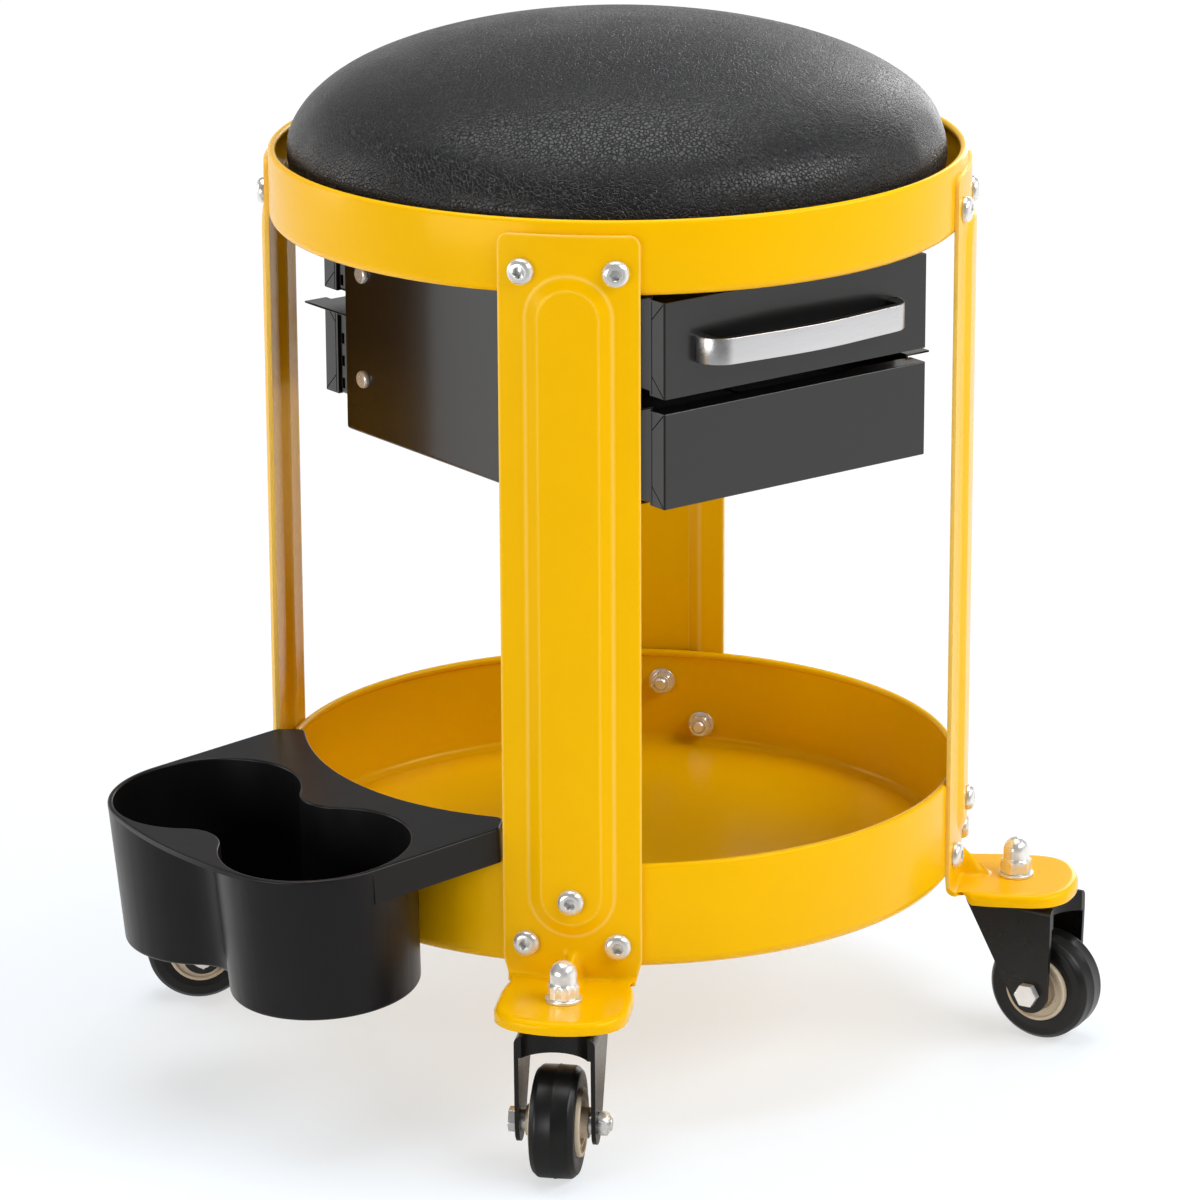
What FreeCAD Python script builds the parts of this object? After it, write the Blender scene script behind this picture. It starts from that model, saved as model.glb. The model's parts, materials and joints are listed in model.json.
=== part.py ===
import FreeCAD, Part
import math
import os

# Rolling workshop stool: a padded round seat in a steel pan on four pressed legs, a tool tray
# between the legs, two drawers under the seat, a twin cup holder on the tray rim and four
# swivel casters. Millimetres, Z up, floor at zero, drawer handles towards -Y, cups towards -X.
# Everything is modelled about the seat's own axis and moved along X at the end, so that the
# origin is the middle of the footprint.

Vector = FreeCAD.Vector
UP = Vector(0, 0, 1)
EPSILON_SHARE = 0.001
HEXAGON_CORNER_SHARE = 1 / math.sqrt(3)
EDGE_SAMPLES = 7

# Leg directions about the seat axis and the way each caster trails, in degrees
LEG_ANGLES = {"front_left": -135.0, "front_right": -45.0, "rear_left": 135.0, "rear_right": 45.0}
TRAIL_ANGLES = {"front_left": -135.6, "front_right": -68.6, "rear_left": 151.8, "rear_right": 68.6}

# Shared fits
overrun = 1.0
running_gap = 0.3
thread_clearance = 0.05
pivot_clearance = 0.06
bolt_hole_clearance = 0.2

# Fasteners
leg_bolt_diameter = 6.0
leg_bolt_head_diameter = 12.0
leg_bolt_head_height = 3.6
leg_bolt_head_round = 2.4
leg_bolt_end = 1.6
leg_nut_across_flats = 10.0
leg_nut_height = 4.6
leg_washer_diameter = 13.0
leg_washer_thickness = 1.4
stud_diameter = 8.0
stud_head_diameter = 15.0
stud_head_height = 2.8
cap_nut_across_flats = 13.0
cap_nut_hex_height = 7.0
cap_nut_height = 17.0
cap_nut_wall = 2.2
cap_washer_diameter = 16.5
cap_washer_thickness = 1.5

# Caster wheel
wheel_diameter = 50.8
tread_width = 20.0
tread_shoulder = 4.0
hub_diameter = 31.0
hub_width = 23.0
hub_lip = 1.2
hub_dish_diameter = 19.0
hub_dish_depth = 2.2
hub_boss_diameter = 14.0
hub_boss_width = 28.0
axle_sleeve_diameter = 10.0
axle_diameter = 6.0
axle_head_height = 4.0
axle_nut_height = 5.0
axle_end = 1.0

# Caster fork
fork_sheet = 2.0
fork_inner_width = 32.0
fork_trail = 16.9
fork_leading_reach = 18.0
fork_leading_drop = 7.0
fork_leading_slope = 4.0
fork_trailing_reach = 27.4
fork_end_radius = 9.5
fork_bend_radius = 3.4
fork_notch_radius = 17.0
fork_notch_depth = 8.5
fork_skirt_depth = 8.0
crown_gap = 15.7

# Swivel race between fork crown and foot
race_height = 5.2
race_sheet = 1.5
race_diameter = 38.0
race_inner_diameter = 19.0
race_ball_diameter = 3.0
race_ball_count = 8

# Legs and feet
leg_sheet = 2.0
leg_width = 62.2
leg_inner_radius = 159.0
leg_above_pan_floor = 27.6
leg_top_corner = 5.0
leg_bend_radius = 3.0
foot_length = 57.5
foot_corner_setback = 9.5
stud_out = 26.0
foot_corner_radius = 14.0
foot_front_radius = 52.0
foot_neck_inset = 2.4
foot_neck_out = 7.0
foot_neck_radius = 5.0
foot_side_share = 0.5
foot_lip_depth = 3.8
foot_edge_round = 3.0

# Raised panel pressed into each leg
panel_height = 2.5
panel_width = 39.0
panel_flat_width = 28.0
panel_above_foot = 20.0
panel_below_top = 17.6
panel_end_slope = 4.7
panel_top_slope = 7.6
panel_edge_round = 3.0
panel_base_round = 3.0

# Leg bolts, measured from the pan floor and the tray floor
upper_bolt_spacing = 41.2
upper_bolt_height = 11.1
lower_bolt_spacing = 40.8
lower_bolt_height = 11.7
middle_bolt_height = 33.1

# Seat pan and tool tray
pan_floor_height = 388.0
pan_sheet = 1.5
pan_depth = 33.7
pan_corner_radius = 5.0
rim_bead_diameter = 3.6
tray_above_foot = 4.2
tray_depth = 49.4
tray_corner_radius = 6.0

# Cushion
cushion_side_gap = 4.5
cushion_rise = 59.0
cushion_below_rim = 3.7
cushion_side_drop = 8.0
cushion_draw_in = 5.2
cushion_draw_height = 7.0
cushion_side_round = 7.0
cushion_foot_round = 2.4
cover_thickness = 1.2
cover_turn_under = 22.0
board_thickness = 12.0
tee_nut_flange_diameter = 19.0
tee_nut_flange_thickness = 1.5
tee_nut_barrel_diameter = 8.0
tee_nut_barrel_length = 9.0

# Drawer case
case_sheet = 1.2
case_width = 176.0
case_leg_gap = 18.3
case_flange = 18.0
case_corner_radius = 2.0
case_bolt_from_side = 9.0
case_bolt_edge_gap = 6.4
case_bolt_reach = 11.0
case_bottom_gap = 9.2
runner_sheet = 1.2
runner_height = 26.0
runner_shelf = 25.5
runner_end_gap = 2.0
rivet_from_end = 14.0
rivet_height = 17.9
rivet_diameter = 4.4
rivet_head_diameter = 8.4
rivet_head_height = 2.2
rivet_round_share = 0.7
rivet_tail_diameter = 6.4
rivet_tail_height = 1.2

# Drawers
drawer_sheet = 1.0
drawer_top_gap = 5.2
drawer_between_gap = 6.4
drawer_panel_width = 148.4
drawer_panel_height = 43.3
drawer_panel_depth = 10.7
drawer_panel_edge_round = 0.8
drawer_panel_back_flange = 9.0
drawer_overhang = 37.8
drawer_box_inset = 1.2
drawer_flange_reach = 85.4
drawer_flange_rise = 1.3
drawer_end_drop = 4.0
drawer_slot_width = 2.0
drawer_slot_height = 5.0
drawer_slot_pitch = 10.8
drawer_slot_count = 3
drawer_slot_rise = 5.4
drawer_slot_setback = 2.5

# Drawer handles
handle_length = 114.4
handle_height = 11.8
handle_above_panel_bottom = 14.4
handle_stand_out = 17.5
handle_shoulder_out = 12.0
handle_bar = 3.2
handle_trim = 0.8
handle_post = 6.0
handle_shoulder_radius = 9.0
handle_crown_radius = 190.0
handle_screw_diameter = 4.0
handle_screw_head_diameter = 8.0
handle_screw_head_height = 2.4
handle_screw_inset = 3.6
handle_screw_bite = 5.0

# Twin cup holder, which hangs from the tray rim and leans out by its play
cup_wall = 2.5
cup_floor = 2.5
cup_inner_radius = 42.75
cup_spacing = 86.6
cup_out = 44.0
cup_depth = 67.5
cup_taper = 2.6
cup_waist_radius = 21.0
cup_bottom_round = 2.4
cup_above_rim = 13.2
cup_tilt = 3.9
cup_plate = 2.4
cup_edge_round = 1.0
cup_skirt_wall = 2.2
cup_skirt_depth = 16.0
cup_lip_in = 11.5
cup_arm_corner = 5.0
cup_leg_gap = 1.6
cup_back_gap = 2.4
cup_hook_wall = 2.0
cup_hook_depth = 24.0
cup_hook_rest = 2.4
cup_back_depth = 16.0

# Heights from the floor up
wheel_radius = wheel_diameter / 2
crown_underside = wheel_diameter + crown_gap
crown_top = crown_underside + fork_sheet
race_underside = crown_top + running_gap
foot_underside = race_underside + race_height
foot_top = foot_underside + leg_sheet
tray_floor_height = foot_top + tray_above_foot
tray_top = tray_floor_height + tray_depth
pan_top = pan_floor_height + pan_depth
leg_top = pan_floor_height + leg_above_pan_floor

# Radii from the seat axis out
leg_outer_radius = leg_inner_radius + leg_sheet
foot_reach = leg_outer_radius + foot_length
foot_corner_reach = foot_reach - foot_corner_setback
stud_from_axis = leg_outer_radius + stud_out
shell_radius = leg_inner_radius
shell_bore_radius = shell_radius - pan_sheet
bead_radius = rim_bead_diameter / 2
cushion_radius = shell_radius - cushion_side_gap
cushion_edge_height = pan_top - cushion_below_rim
board_radius = cushion_radius - cushion_draw_in - cover_thickness
board_underside = pan_floor_height + pan_sheet + cover_thickness
board_top = board_underside + board_thickness

# Drawer case and drawers
case_half = case_width / 2
case_bore_half = case_half - case_sheet
case_flange_half = case_half + case_flange
case_length = 2 * math.sqrt((leg_inner_radius - case_leg_gap) ** 2 - case_flange_half ** 2)
case_bolt_circle = board_radius - cover_turn_under - case_bolt_edge_gap
drawer_length = case_length + 2 * drawer_overhang
upper_drawer_bottom = pan_floor_height - drawer_top_gap - drawer_panel_height
lower_drawer_bottom = upper_drawer_bottom - drawer_between_gap - drawer_panel_height
case_bottom = lower_drawer_bottom - case_bottom_gap
drawer_box_half = drawer_panel_width / 2 - drawer_box_inset
drawer_box_length = drawer_length - 2 * drawer_panel_depth

# Cup holder
cup_top = tray_top + cup_above_rim
cup_bottom = cup_top - cup_depth
cup_under_edge = cup_top - cup_edge_round
cup_outer_radius = cup_inner_radius + cup_wall
cup_half_spacing = cup_spacing / 2
cup_from_axis = shell_radius + cup_out
cup_inner_reach = shell_radius - cup_lip_in


def moved(shape, x=0.0, y=0.0, z=0.0):
    return shape.translated(Vector(x, y, z))


def turned(shape, degrees, centre=Vector(0, 0, 0), axis=UP):
    return shape.rotated(centre, axis, degrees)


def cylinder(radius, bottom, top, x=0.0, y=0.0):
    return Part.makeCylinder(radius, top - bottom, Vector(x, y, bottom), UP)


def tube(outer, inner, bottom, top):
    return cylinder(outer, bottom, top).cut(cylinder(inner, bottom - overrun, top + overrun))


def rod_along(radius, start, end):
    return Part.makeCylinder(radius, (end - start).Length, start, end - start)


def block(low, high):
    size = high - low
    return Part.makeBox(size.x, size.y, size.z, low)


def in_plan(height):
    return lambda a, b: Vector(a, b, height)


def in_side_view(y):
    return lambda a, b: Vector(a, y, b)


def in_end_view(x):
    return lambda a, b: Vector(x, a, b)


def rounded_wire(corners, place):
    """Closed wire through corners given as (a, b) or (a, b, radius), each radius a tangent arc."""
    points = [Vector(corner[0], corner[1], 0) for corner in corners]
    radii = [corner[2] if len(corner) > 2 else 0.0 for corner in corners]
    count = len(points)
    starts = []
    ends = []
    middles = []
    for index in range(count):
        here = points[index]
        back = (points[index - 1] - here).normalize()
        onward = (points[(index + 1) % count] - here).normalize()
        half = back.getAngle(onward) / 2
        if radii[index] > 0:
            reach = radii[index] / math.tan(half)
            bisector = (back + onward).normalize()
            middles.append(here + bisector * (radii[index] / math.sin(half) - radii[index]))
        else:
            reach = 0.0
            middles.append(None)
        starts.append(here + back * reach)
        ends.append(here + onward * reach)
    edges = []
    for index in range(count):
        if middles[index] is not None:
            arc = [place(p.x, p.y) for p in (starts[index], middles[index], ends[index])]
            edges.append(Part.Arc(*arc).toShape())
        following = starts[(index + 1) % count]
        if (following - ends[index]).Length > EPSILON_SHARE:
            line = [place(p.x, p.y) for p in (ends[index], following)]
            edges.append(Part.makeLine(*line))
    return Part.Wire(edges)


def prism(corners, bottom, top):
    face = Part.Face(rounded_wire(corners, in_plan(bottom)))
    return face.extrude(Vector(0, 0, top - bottom))


def side_prism(corners, near, far):
    face = Part.Face(rounded_wire(corners, in_side_view(near)))
    return face.extrude(Vector(0, far - near, 0))


def end_prism(corners, near, far):
    face = Part.Face(rounded_wire(corners, in_end_view(near)))
    return face.extrude(Vector(far - near, 0, 0))


def turned_profile(corners, sweep=360.0):
    """Solid of revolution about Z from a closed outline of (radius, height) corners."""
    face = Part.Face(rounded_wire(corners, in_side_view(0.0)))
    return face.revolve(Vector(0, 0, 0), UP, sweep)


def hexagon(across_flats, bottom, top):
    corner_radius = across_flats * HEXAGON_CORNER_SHARE
    points = []
    for step in range(6):
        angle = math.radians(60 * step)
        points.append((corner_radius * math.cos(angle), corner_radius * math.sin(angle)))
    return prism(points, bottom, top)


def mirror_images(corners):
    """The corners' mirror images across the first coordinate's axis, in the order that closes a loop."""
    return [(corner[0], -corner[1]) + tuple(corner[2:]) for corner in reversed(corners)]


def is_upright(edge):
    box = edge.BoundBox
    return box.XLength < EPSILON_SHARE and box.YLength < EPSILON_SHARE


def fused(shapes):
    whole = shapes[0].fuse(list(shapes[1:])) if len(shapes) > 1 else shapes[0]
    return whole.removeSplitter()


def facing_out(shape, radius, angle, height):
    """Turns a piece made along Z so that Z points away from the seat axis, and places it."""
    laid = turned(shape, 90.0, Vector(0, 0, 0), Vector(0, 1, 0))
    return turned(moved(laid, radius, 0.0, height), angle)


# Shells that the legs are bolted to

def rimmed_shell(floor_height, depth, corner_radius):
    top = floor_height + depth - bead_radius
    shell = turned_profile([
        (0, floor_height),
        (shell_radius, floor_height, corner_radius),
        (shell_radius, top),
        (shell_bore_radius, top),
        (shell_bore_radius, floor_height + pan_sheet, corner_radius - pan_sheet),
        (0, floor_height + pan_sheet),
    ])
    bead = Part.makeTorus(shell_radius - bead_radius, bead_radius, Vector(0, 0, top), UP)
    return fused([shell, bead])


def leg_bolt_places(leg_angle):
    """Angle, height and seat radius of the five bolts of one leg."""
    places = []
    upper_turn = math.degrees(math.asin(upper_bolt_spacing / 2 / leg_outer_radius))
    lower_turn = math.degrees(math.asin(lower_bolt_spacing / 2 / leg_outer_radius))
    for side in (-1, 1):
        places.append((leg_angle + side * upper_turn, pan_floor_height + upper_bolt_height, leg_outer_radius))
        places.append((leg_angle + side * lower_turn, tray_floor_height + lower_bolt_height, leg_outer_radius))
    middle_seat = leg_outer_radius + panel_height
    places.append((leg_angle, tray_floor_height + middle_bolt_height, middle_seat))
    return places


def all_bolt_places():
    places = []
    for angle in LEG_ANGLES.values():
        places.extend(leg_bolt_places(angle))
    return places


def bolt_holes():
    radius = leg_bolt_diameter / 2 + bolt_hole_clearance
    inner = shell_bore_radius - overrun
    holes = []
    for angle, height, seat in all_bolt_places():
        hole = cylinder(radius, inner, seat + overrun)
        holes.append(facing_out(hole, 0.0, angle, height))
    return holes


def case_bolt_places():
    x = case_half + case_bolt_from_side
    y = math.sqrt(case_bolt_circle ** 2 - x ** 2)
    return [(x, y), (-x, y), (x, -y), (-x, -y)]


def case_bolt_holes(bottom, top, radius):
    return [cylinder(radius, bottom, top, x, y) for x, y in case_bolt_places()]


def seat_pan():
    pan = rimmed_shell(pan_floor_height, pan_depth, pan_corner_radius)
    hole_radius = leg_bolt_diameter / 2 + bolt_hole_clearance
    top = pan_floor_height + pan_sheet + overrun
    holes = case_bolt_holes(pan_floor_height - overrun, top, hole_radius)
    return pan.cut(bolt_holes() + holes)


def tool_tray():
    return rimmed_shell(tray_floor_height, tray_depth, tray_corner_radius).cut(bolt_holes())


# Cushion: cover, foam and board

def cushion_body(inset):
    """The padded seat's outer form, drawn in by inset all round."""
    edge = cushion_radius - inset
    crown = cushion_edge_height + cushion_rise - inset
    base = pan_floor_height + pan_sheet + inset
    shoulder = cushion_edge_height - cushion_side_drop
    waist = shoulder - cushion_draw_height
    side = rounded_wire([
        (0, base),
        (edge - cushion_draw_in, base, cushion_foot_round - inset),
        (edge - cushion_draw_in, waist, cushion_side_round),
        (edge, shoulder, cushion_side_round),
        (edge, cushion_edge_height),
        (0, cushion_edge_height),
    ], in_side_view(0.0))
    lower = Part.Face(side).revolve(Vector(0, 0, 0), UP, 360.0)
    centre = Vector(0, 0, cushion_edge_height)
    ellipse = Part.Ellipse(Vector(edge, 0, cushion_edge_height), Vector(0, 0, crown), centre)
    arc = Part.ArcOfEllipse(ellipse, 0, math.pi / 2).toShape()
    top = arc.valueAt(arc.LastParameter)
    outline = Part.Wire([arc, Part.makeLine(top, centre), Part.makeLine(centre, arc.valueAt(0))])
    dome = Part.Face(outline).revolve(Vector(0, 0, 0), UP, 360.0)
    return fused([lower, dome])


def seat_cover():
    opening = cylinder(board_radius - cover_turn_under, pan_floor_height, board_underside + overrun)
    return cushion_body(0.0).cut([cushion_body(cover_thickness), opening])


def seat_foam():
    below = cylinder(cushion_radius, pan_floor_height, board_top)
    return cushion_body(cover_thickness).cut(below)


def seat_board():
    board = turned_profile([
        (0, board_underside),
        (board_radius, board_underside, cushion_foot_round - cover_thickness),
        (board_radius, board_top),
        (0, board_top),
    ])
    barrel = tee_nut_barrel_diameter / 2
    recess = tee_nut_flange_diameter / 2
    holes = case_bolt_holes(board_underside - overrun, board_top + overrun, barrel)
    seats = case_bolt_holes(board_top - tee_nut_flange_thickness, board_top + overrun, recess)
    return board.cut(holes + seats)


def board_tee_nuts():
    nuts = []
    flange_bottom = board_top - tee_nut_flange_thickness
    bore = leg_bolt_diameter / 2 + thread_clearance
    for x, y in case_bolt_places():
        flange = cylinder(tee_nut_flange_diameter / 2, flange_bottom, board_top, x, y)
        barrel = cylinder(tee_nut_barrel_diameter / 2, flange_bottom - tee_nut_barrel_length, board_top, x, y)
        hole = cylinder(bore, board_underside, board_top + overrun, x, y)
        nuts.append(fused([flange, barrel]).cut(hole))
    return nuts


# Legs

def foot_outline():
    """Plan of a foot, from inside the leg's wall to its rounded front."""
    half = leg_width / 2
    neck = half - foot_neck_inset
    neck_at = leg_outer_radius + foot_neck_out
    one_side = [
        (leg_inner_radius / 2, -half),
        (leg_outer_radius, -half, foot_neck_radius),
        (neck_at, -neck, foot_neck_radius),
        (leg_outer_radius + foot_length * foot_side_share, -half, foot_front_radius),
        (foot_corner_reach, -half, foot_corner_radius),
    ]
    front = [(foot_reach, 0, foot_front_radius)]
    return one_side + front + mirror_images(one_side)


def stadium(half_width, bottom, top, x):
    low = bottom + half_width
    high = top - half_width
    left = Vector(x, -half_width, low)
    right = Vector(x, half_width, low)
    right_high = Vector(x, half_width, high)
    left_high = Vector(x, -half_width, high)
    under = Part.Arc(left, Vector(x, 0, bottom), right).toShape()
    over = Part.Arc(right_high, Vector(x, 0, top), left_high).toShape()
    return Part.Wire([under, Part.makeLine(right, right_high), over, Part.makeLine(left_high, left)])


def stays_at(edge, radius):
    """Whether an edge keeps this distance from the Z axis all along."""
    return all(abs(math.hypot(p.x, p.y) - radius) < EPSILON_SHARE for p in edge.discretize(EDGE_SAMPLES))


def pressed_panel(depth_shift, rounding):
    """The raised panel's plug, moved towards the seat axis by depth_shift."""
    bottom = foot_top + panel_above_foot
    top = leg_top - panel_below_top
    start = leg_outer_radius - depth_shift
    narrowing = panel_width - panel_flat_width
    base = stadium(
        (panel_width + narrowing) / 2,
        bottom - panel_end_slope,
        top + panel_top_slope,
        start - panel_height,
    )
    tip = stadium(
        panel_flat_width / 2 - narrowing / 2,
        bottom + 2 * panel_end_slope,
        top - 2 * panel_top_slope,
        start + 2 * panel_height,
    )
    plug = Part.makeLoft([base, tip], True, True)
    low = bottom - panel_width
    high = top + panel_width
    bound = tube(start + panel_height, leg_inner_radius - depth_shift, low, high)
    plug = plug.common(turned(bound, 180.0))
    rim = [edge for edge in plug.Edges if stays_at(edge, start + panel_height)]
    return plug.makeFillet(rounding, rim)


def panel_base_edges(shape):
    """The edges where the raised panel leaves the leg's outer face."""
    reach = panel_width / 2 + 2 * panel_height
    chosen = []
    for edge in shape.Edges:
        box = edge.BoundBox
        within = max(-box.YMin, box.YMax) < reach and box.ZMin > foot_top + leg_bend_radius
        if within and stays_at(edge, leg_outer_radius):
            chosen.append(edge)
    return chosen


def leg_blank():
    """Wall and foot as one bent sheet about the seat axis."""
    outer_bend = leg_bend_radius + leg_sheet
    flange_end = foot_reach + overrun
    half_sweep = math.degrees(math.asin(leg_width / 2 / leg_inner_radius)) * 2
    band = turned_profile([
        (leg_inner_radius, leg_top),
        (leg_inner_radius, foot_underside, outer_bend),
        (flange_end, foot_underside),
        (flange_end, foot_top),
        (leg_outer_radius, foot_top, leg_bend_radius),
        (leg_outer_radius, leg_top),
    ], 2 * half_sweep)
    band = turned(band, -half_sweep)
    half = leg_width / 2
    front_view = end_prism([
        (-half, foot_underside - overrun),
        (half, foot_underside - overrun),
        (half, leg_top, leg_top_corner),
        (-half, leg_top, leg_top_corner),
    ], leg_inner_radius / 2, flange_end + overrun)
    plan = prism(foot_outline(), foot_underside - overrun, leg_top + overrun)
    return band.common(front_view).common(plan)


def foot_lip():
    """The turned-down edge round a foot."""
    bottom = foot_underside - foot_lip_depth
    body = prism(foot_outline(), bottom, foot_top)
    start = leg_outer_radius + foot_neck_out
    rim = []
    for edge in body.Edges:
        level = abs(edge.BoundBox.ZMin - foot_top) < EPSILON_SHARE and edge.BoundBox.ZLength < EPSILON_SHARE
        if level and edge.BoundBox.XMax > start + overrun:
            rim.append(edge)
    body = body.makeFillet(foot_edge_round, rim)
    plan = Part.Face(rounded_wire(foot_outline(), in_plan(bottom - overrun)))
    hollow = plan.makeOffset2D(-leg_sheet).extrude(Vector(0, 0, foot_lip_depth + overrun))
    keep = block(
        Vector(start, -leg_width, bottom - overrun),
        Vector(foot_reach + overrun, leg_width, foot_top + overrun),
    )
    return body.cut(hollow).common(keep)


def leg():
    """One leg with its foot, standing at angle zero."""
    blank = leg_blank()
    lip = foot_lip()
    start = leg_outer_radius + foot_neck_out
    inner = block(
        Vector(0, -leg_width, foot_underside - overrun),
        Vector(start, leg_width, leg_top + overrun),
    )
    whole = fused([blank.common(inner), lip, pressed_panel(0.0, panel_edge_round)])
    whole = whole.makeFillet(panel_base_round, panel_base_edges(whole))
    whole = whole.cut(pressed_panel(leg_sheet, panel_edge_round - leg_sheet))
    hole_radius = leg_bolt_diameter / 2 + bolt_hole_clearance
    cuts = []
    for angle, height, seat in leg_bolt_places(0.0):
        hole = cylinder(hole_radius, leg_inner_radius - panel_height, seat + overrun)
        cuts.append(facing_out(hole, 0.0, angle, height))
    stud_radius = stud_diameter / 2 + bolt_hole_clearance
    cuts.append(cylinder(stud_radius, foot_underside - overrun, foot_top + overrun, stud_from_axis))
    return whole.cut(cuts)


def round_head(diameter, height, rounding):
    radius = diameter / 2
    return turned_profile([
        (0, 0),
        (radius, 0),
        (radius, height, rounding),
        (0, height),
    ])


def leg_bolts():
    bolts = []
    inner_end = shell_bore_radius - leg_washer_thickness - leg_nut_height - leg_bolt_end
    for angle, height, seat in all_bolt_places():
        head = moved(round_head(leg_bolt_head_diameter, leg_bolt_head_height, leg_bolt_head_round), z=seat)
        shank = cylinder(leg_bolt_diameter / 2, inner_end, seat)
        bolts.append(facing_out(fused([head, shank]), 0.0, angle, height))
    return bolts


def seat_inside(radius):
    """Radius at which a flat round piece of this radius meets the shells' inner wall."""
    return math.sqrt(shell_bore_radius ** 2 - radius ** 2)


def leg_washers():
    washers = []
    outer = leg_washer_diameter / 2
    seat = seat_inside(outer)
    hole = leg_bolt_diameter / 2 + bolt_hole_clearance
    for angle, height, _ in all_bolt_places():
        washer = tube(outer, hole, seat - leg_washer_thickness, seat)
        washers.append(facing_out(washer, 0.0, angle, height))
    return washers


def leg_nuts():
    nuts = []
    seat = seat_inside(leg_washer_diameter / 2) - leg_washer_thickness
    bore = leg_bolt_diameter / 2 + thread_clearance
    for angle, height, _ in all_bolt_places():
        nut = hexagon(leg_nut_across_flats, seat - leg_nut_height, seat)
        nut = nut.cut(cylinder(bore, seat - leg_nut_height - overrun, seat + overrun))
        nuts.append(facing_out(nut, 0.0, angle, height))
    return nuts


# Drawer case under the pan

def long_section(corners, length):
    """A bent sheet's cross-section drawn out along the drawers' way."""
    return side_prism(corners, -length / 2, length / 2)


def drawer_case():
    flange_half = case_flange_half
    top = pan_floor_height
    bend = case_sheet
    section = long_section([
        (-flange_half, top),
        (-flange_half, top - case_sheet),
        (-case_half, top - case_sheet),
        (-case_half, case_bottom, bend + case_sheet),
        (case_half, case_bottom, bend + case_sheet),
        (case_half, top - case_sheet),
        (flange_half, top - case_sheet),
        (flange_half, top),
        (case_bore_half, top),
        (case_bore_half, case_bottom + case_sheet, bend),
        (-case_bore_half, case_bottom + case_sheet, bend),
        (-case_bore_half, top),
    ], case_length)
    half = case_length / 2
    side_view = end_prism([
        (-half, case_bottom, case_corner_radius),
        (half, case_bottom, case_corner_radius),
        (half, top + overrun),
        (-half, top + overrun),
    ], -flange_half - overrun, flange_half + overrun)
    body = section.common(side_view)
    hole_radius = leg_bolt_diameter / 2 + bolt_hole_clearance
    holes = case_bolt_holes(top - case_sheet - overrun, top + overrun, hole_radius)
    for y, z in rivet_places():
        start = Vector(-case_half - overrun, y, z)
        holes.append(rod_along(rivet_diameter / 2, start, Vector(case_half + overrun, y, z)))
    return body.cut(holes)


def rivet_places(bottoms=None):
    heights = bottoms or (lower_drawer_bottom, upper_drawer_bottom)
    y = case_length / 2 - rivet_from_end
    return [(side * y, bottom + rivet_height) for bottom in heights for side in (-1, 1)]


def runner_pair(drawer_bottom):
    """Two angle runners, one on each side wall, that carry a drawer's floor."""
    shelf_top = drawer_bottom - running_gap
    shelf_bottom = shelf_top - runner_sheet
    outer = case_bore_half
    inner = outer - runner_shelf
    bend = runner_sheet
    length = case_length - 2 * runner_end_gap
    right = long_section([
        (inner, shelf_bottom),
        (outer, shelf_bottom, bend + runner_sheet),
        (outer, shelf_bottom + runner_height),
        (outer - runner_sheet, shelf_bottom + runner_height),
        (outer - runner_sheet, shelf_top, bend),
        (inner, shelf_top),
    ], length)
    for y, z in rivet_places((drawer_bottom,)):
        hole = rod_along(rivet_diameter / 2, Vector(0, y, z), Vector(case_half, y, z))
        right = right.cut(hole)
    return [right, turned(right, 180.0)]


def runner_rivets():
    rivets = []
    outer = case_half
    inner = case_bore_half - runner_sheet
    for y, z in rivet_places():
        head = round_head(rivet_head_diameter, rivet_head_height, rivet_head_height * rivet_round_share)
        head = moved(head, z=outer)
        shank = cylinder(rivet_diameter / 2, inner - rivet_tail_height, outer)
        tail = cylinder(rivet_tail_diameter / 2, inner - rivet_tail_height, inner)
        rivet = turned(fused([head, shank, tail]), 90.0, Vector(0, 0, 0), Vector(0, 1, 0))
        rivet = moved(rivet, y=y, z=z)
        rivets.append(rivet)
        rivets.append(rivet.mirror(Vector(0, 0, 0), Vector(1, 0, 0)))
    return rivets


def case_bolts():
    bolts = []
    seat = pan_floor_height - case_sheet
    tip = pan_floor_height + case_bolt_reach
    for x, y in case_bolt_places():
        head = round_head(leg_bolt_head_diameter, leg_bolt_head_height, leg_bolt_head_round)
        head = turned(head, 180.0, Vector(0, 0, 0), Vector(1, 0, 0))
        head = moved(head, x, y, seat)
        shank = cylinder(leg_bolt_diameter / 2, seat, tip, x, y)
        bolts.append(fused([head, shank]))
    return bolts


# Drawers

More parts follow.
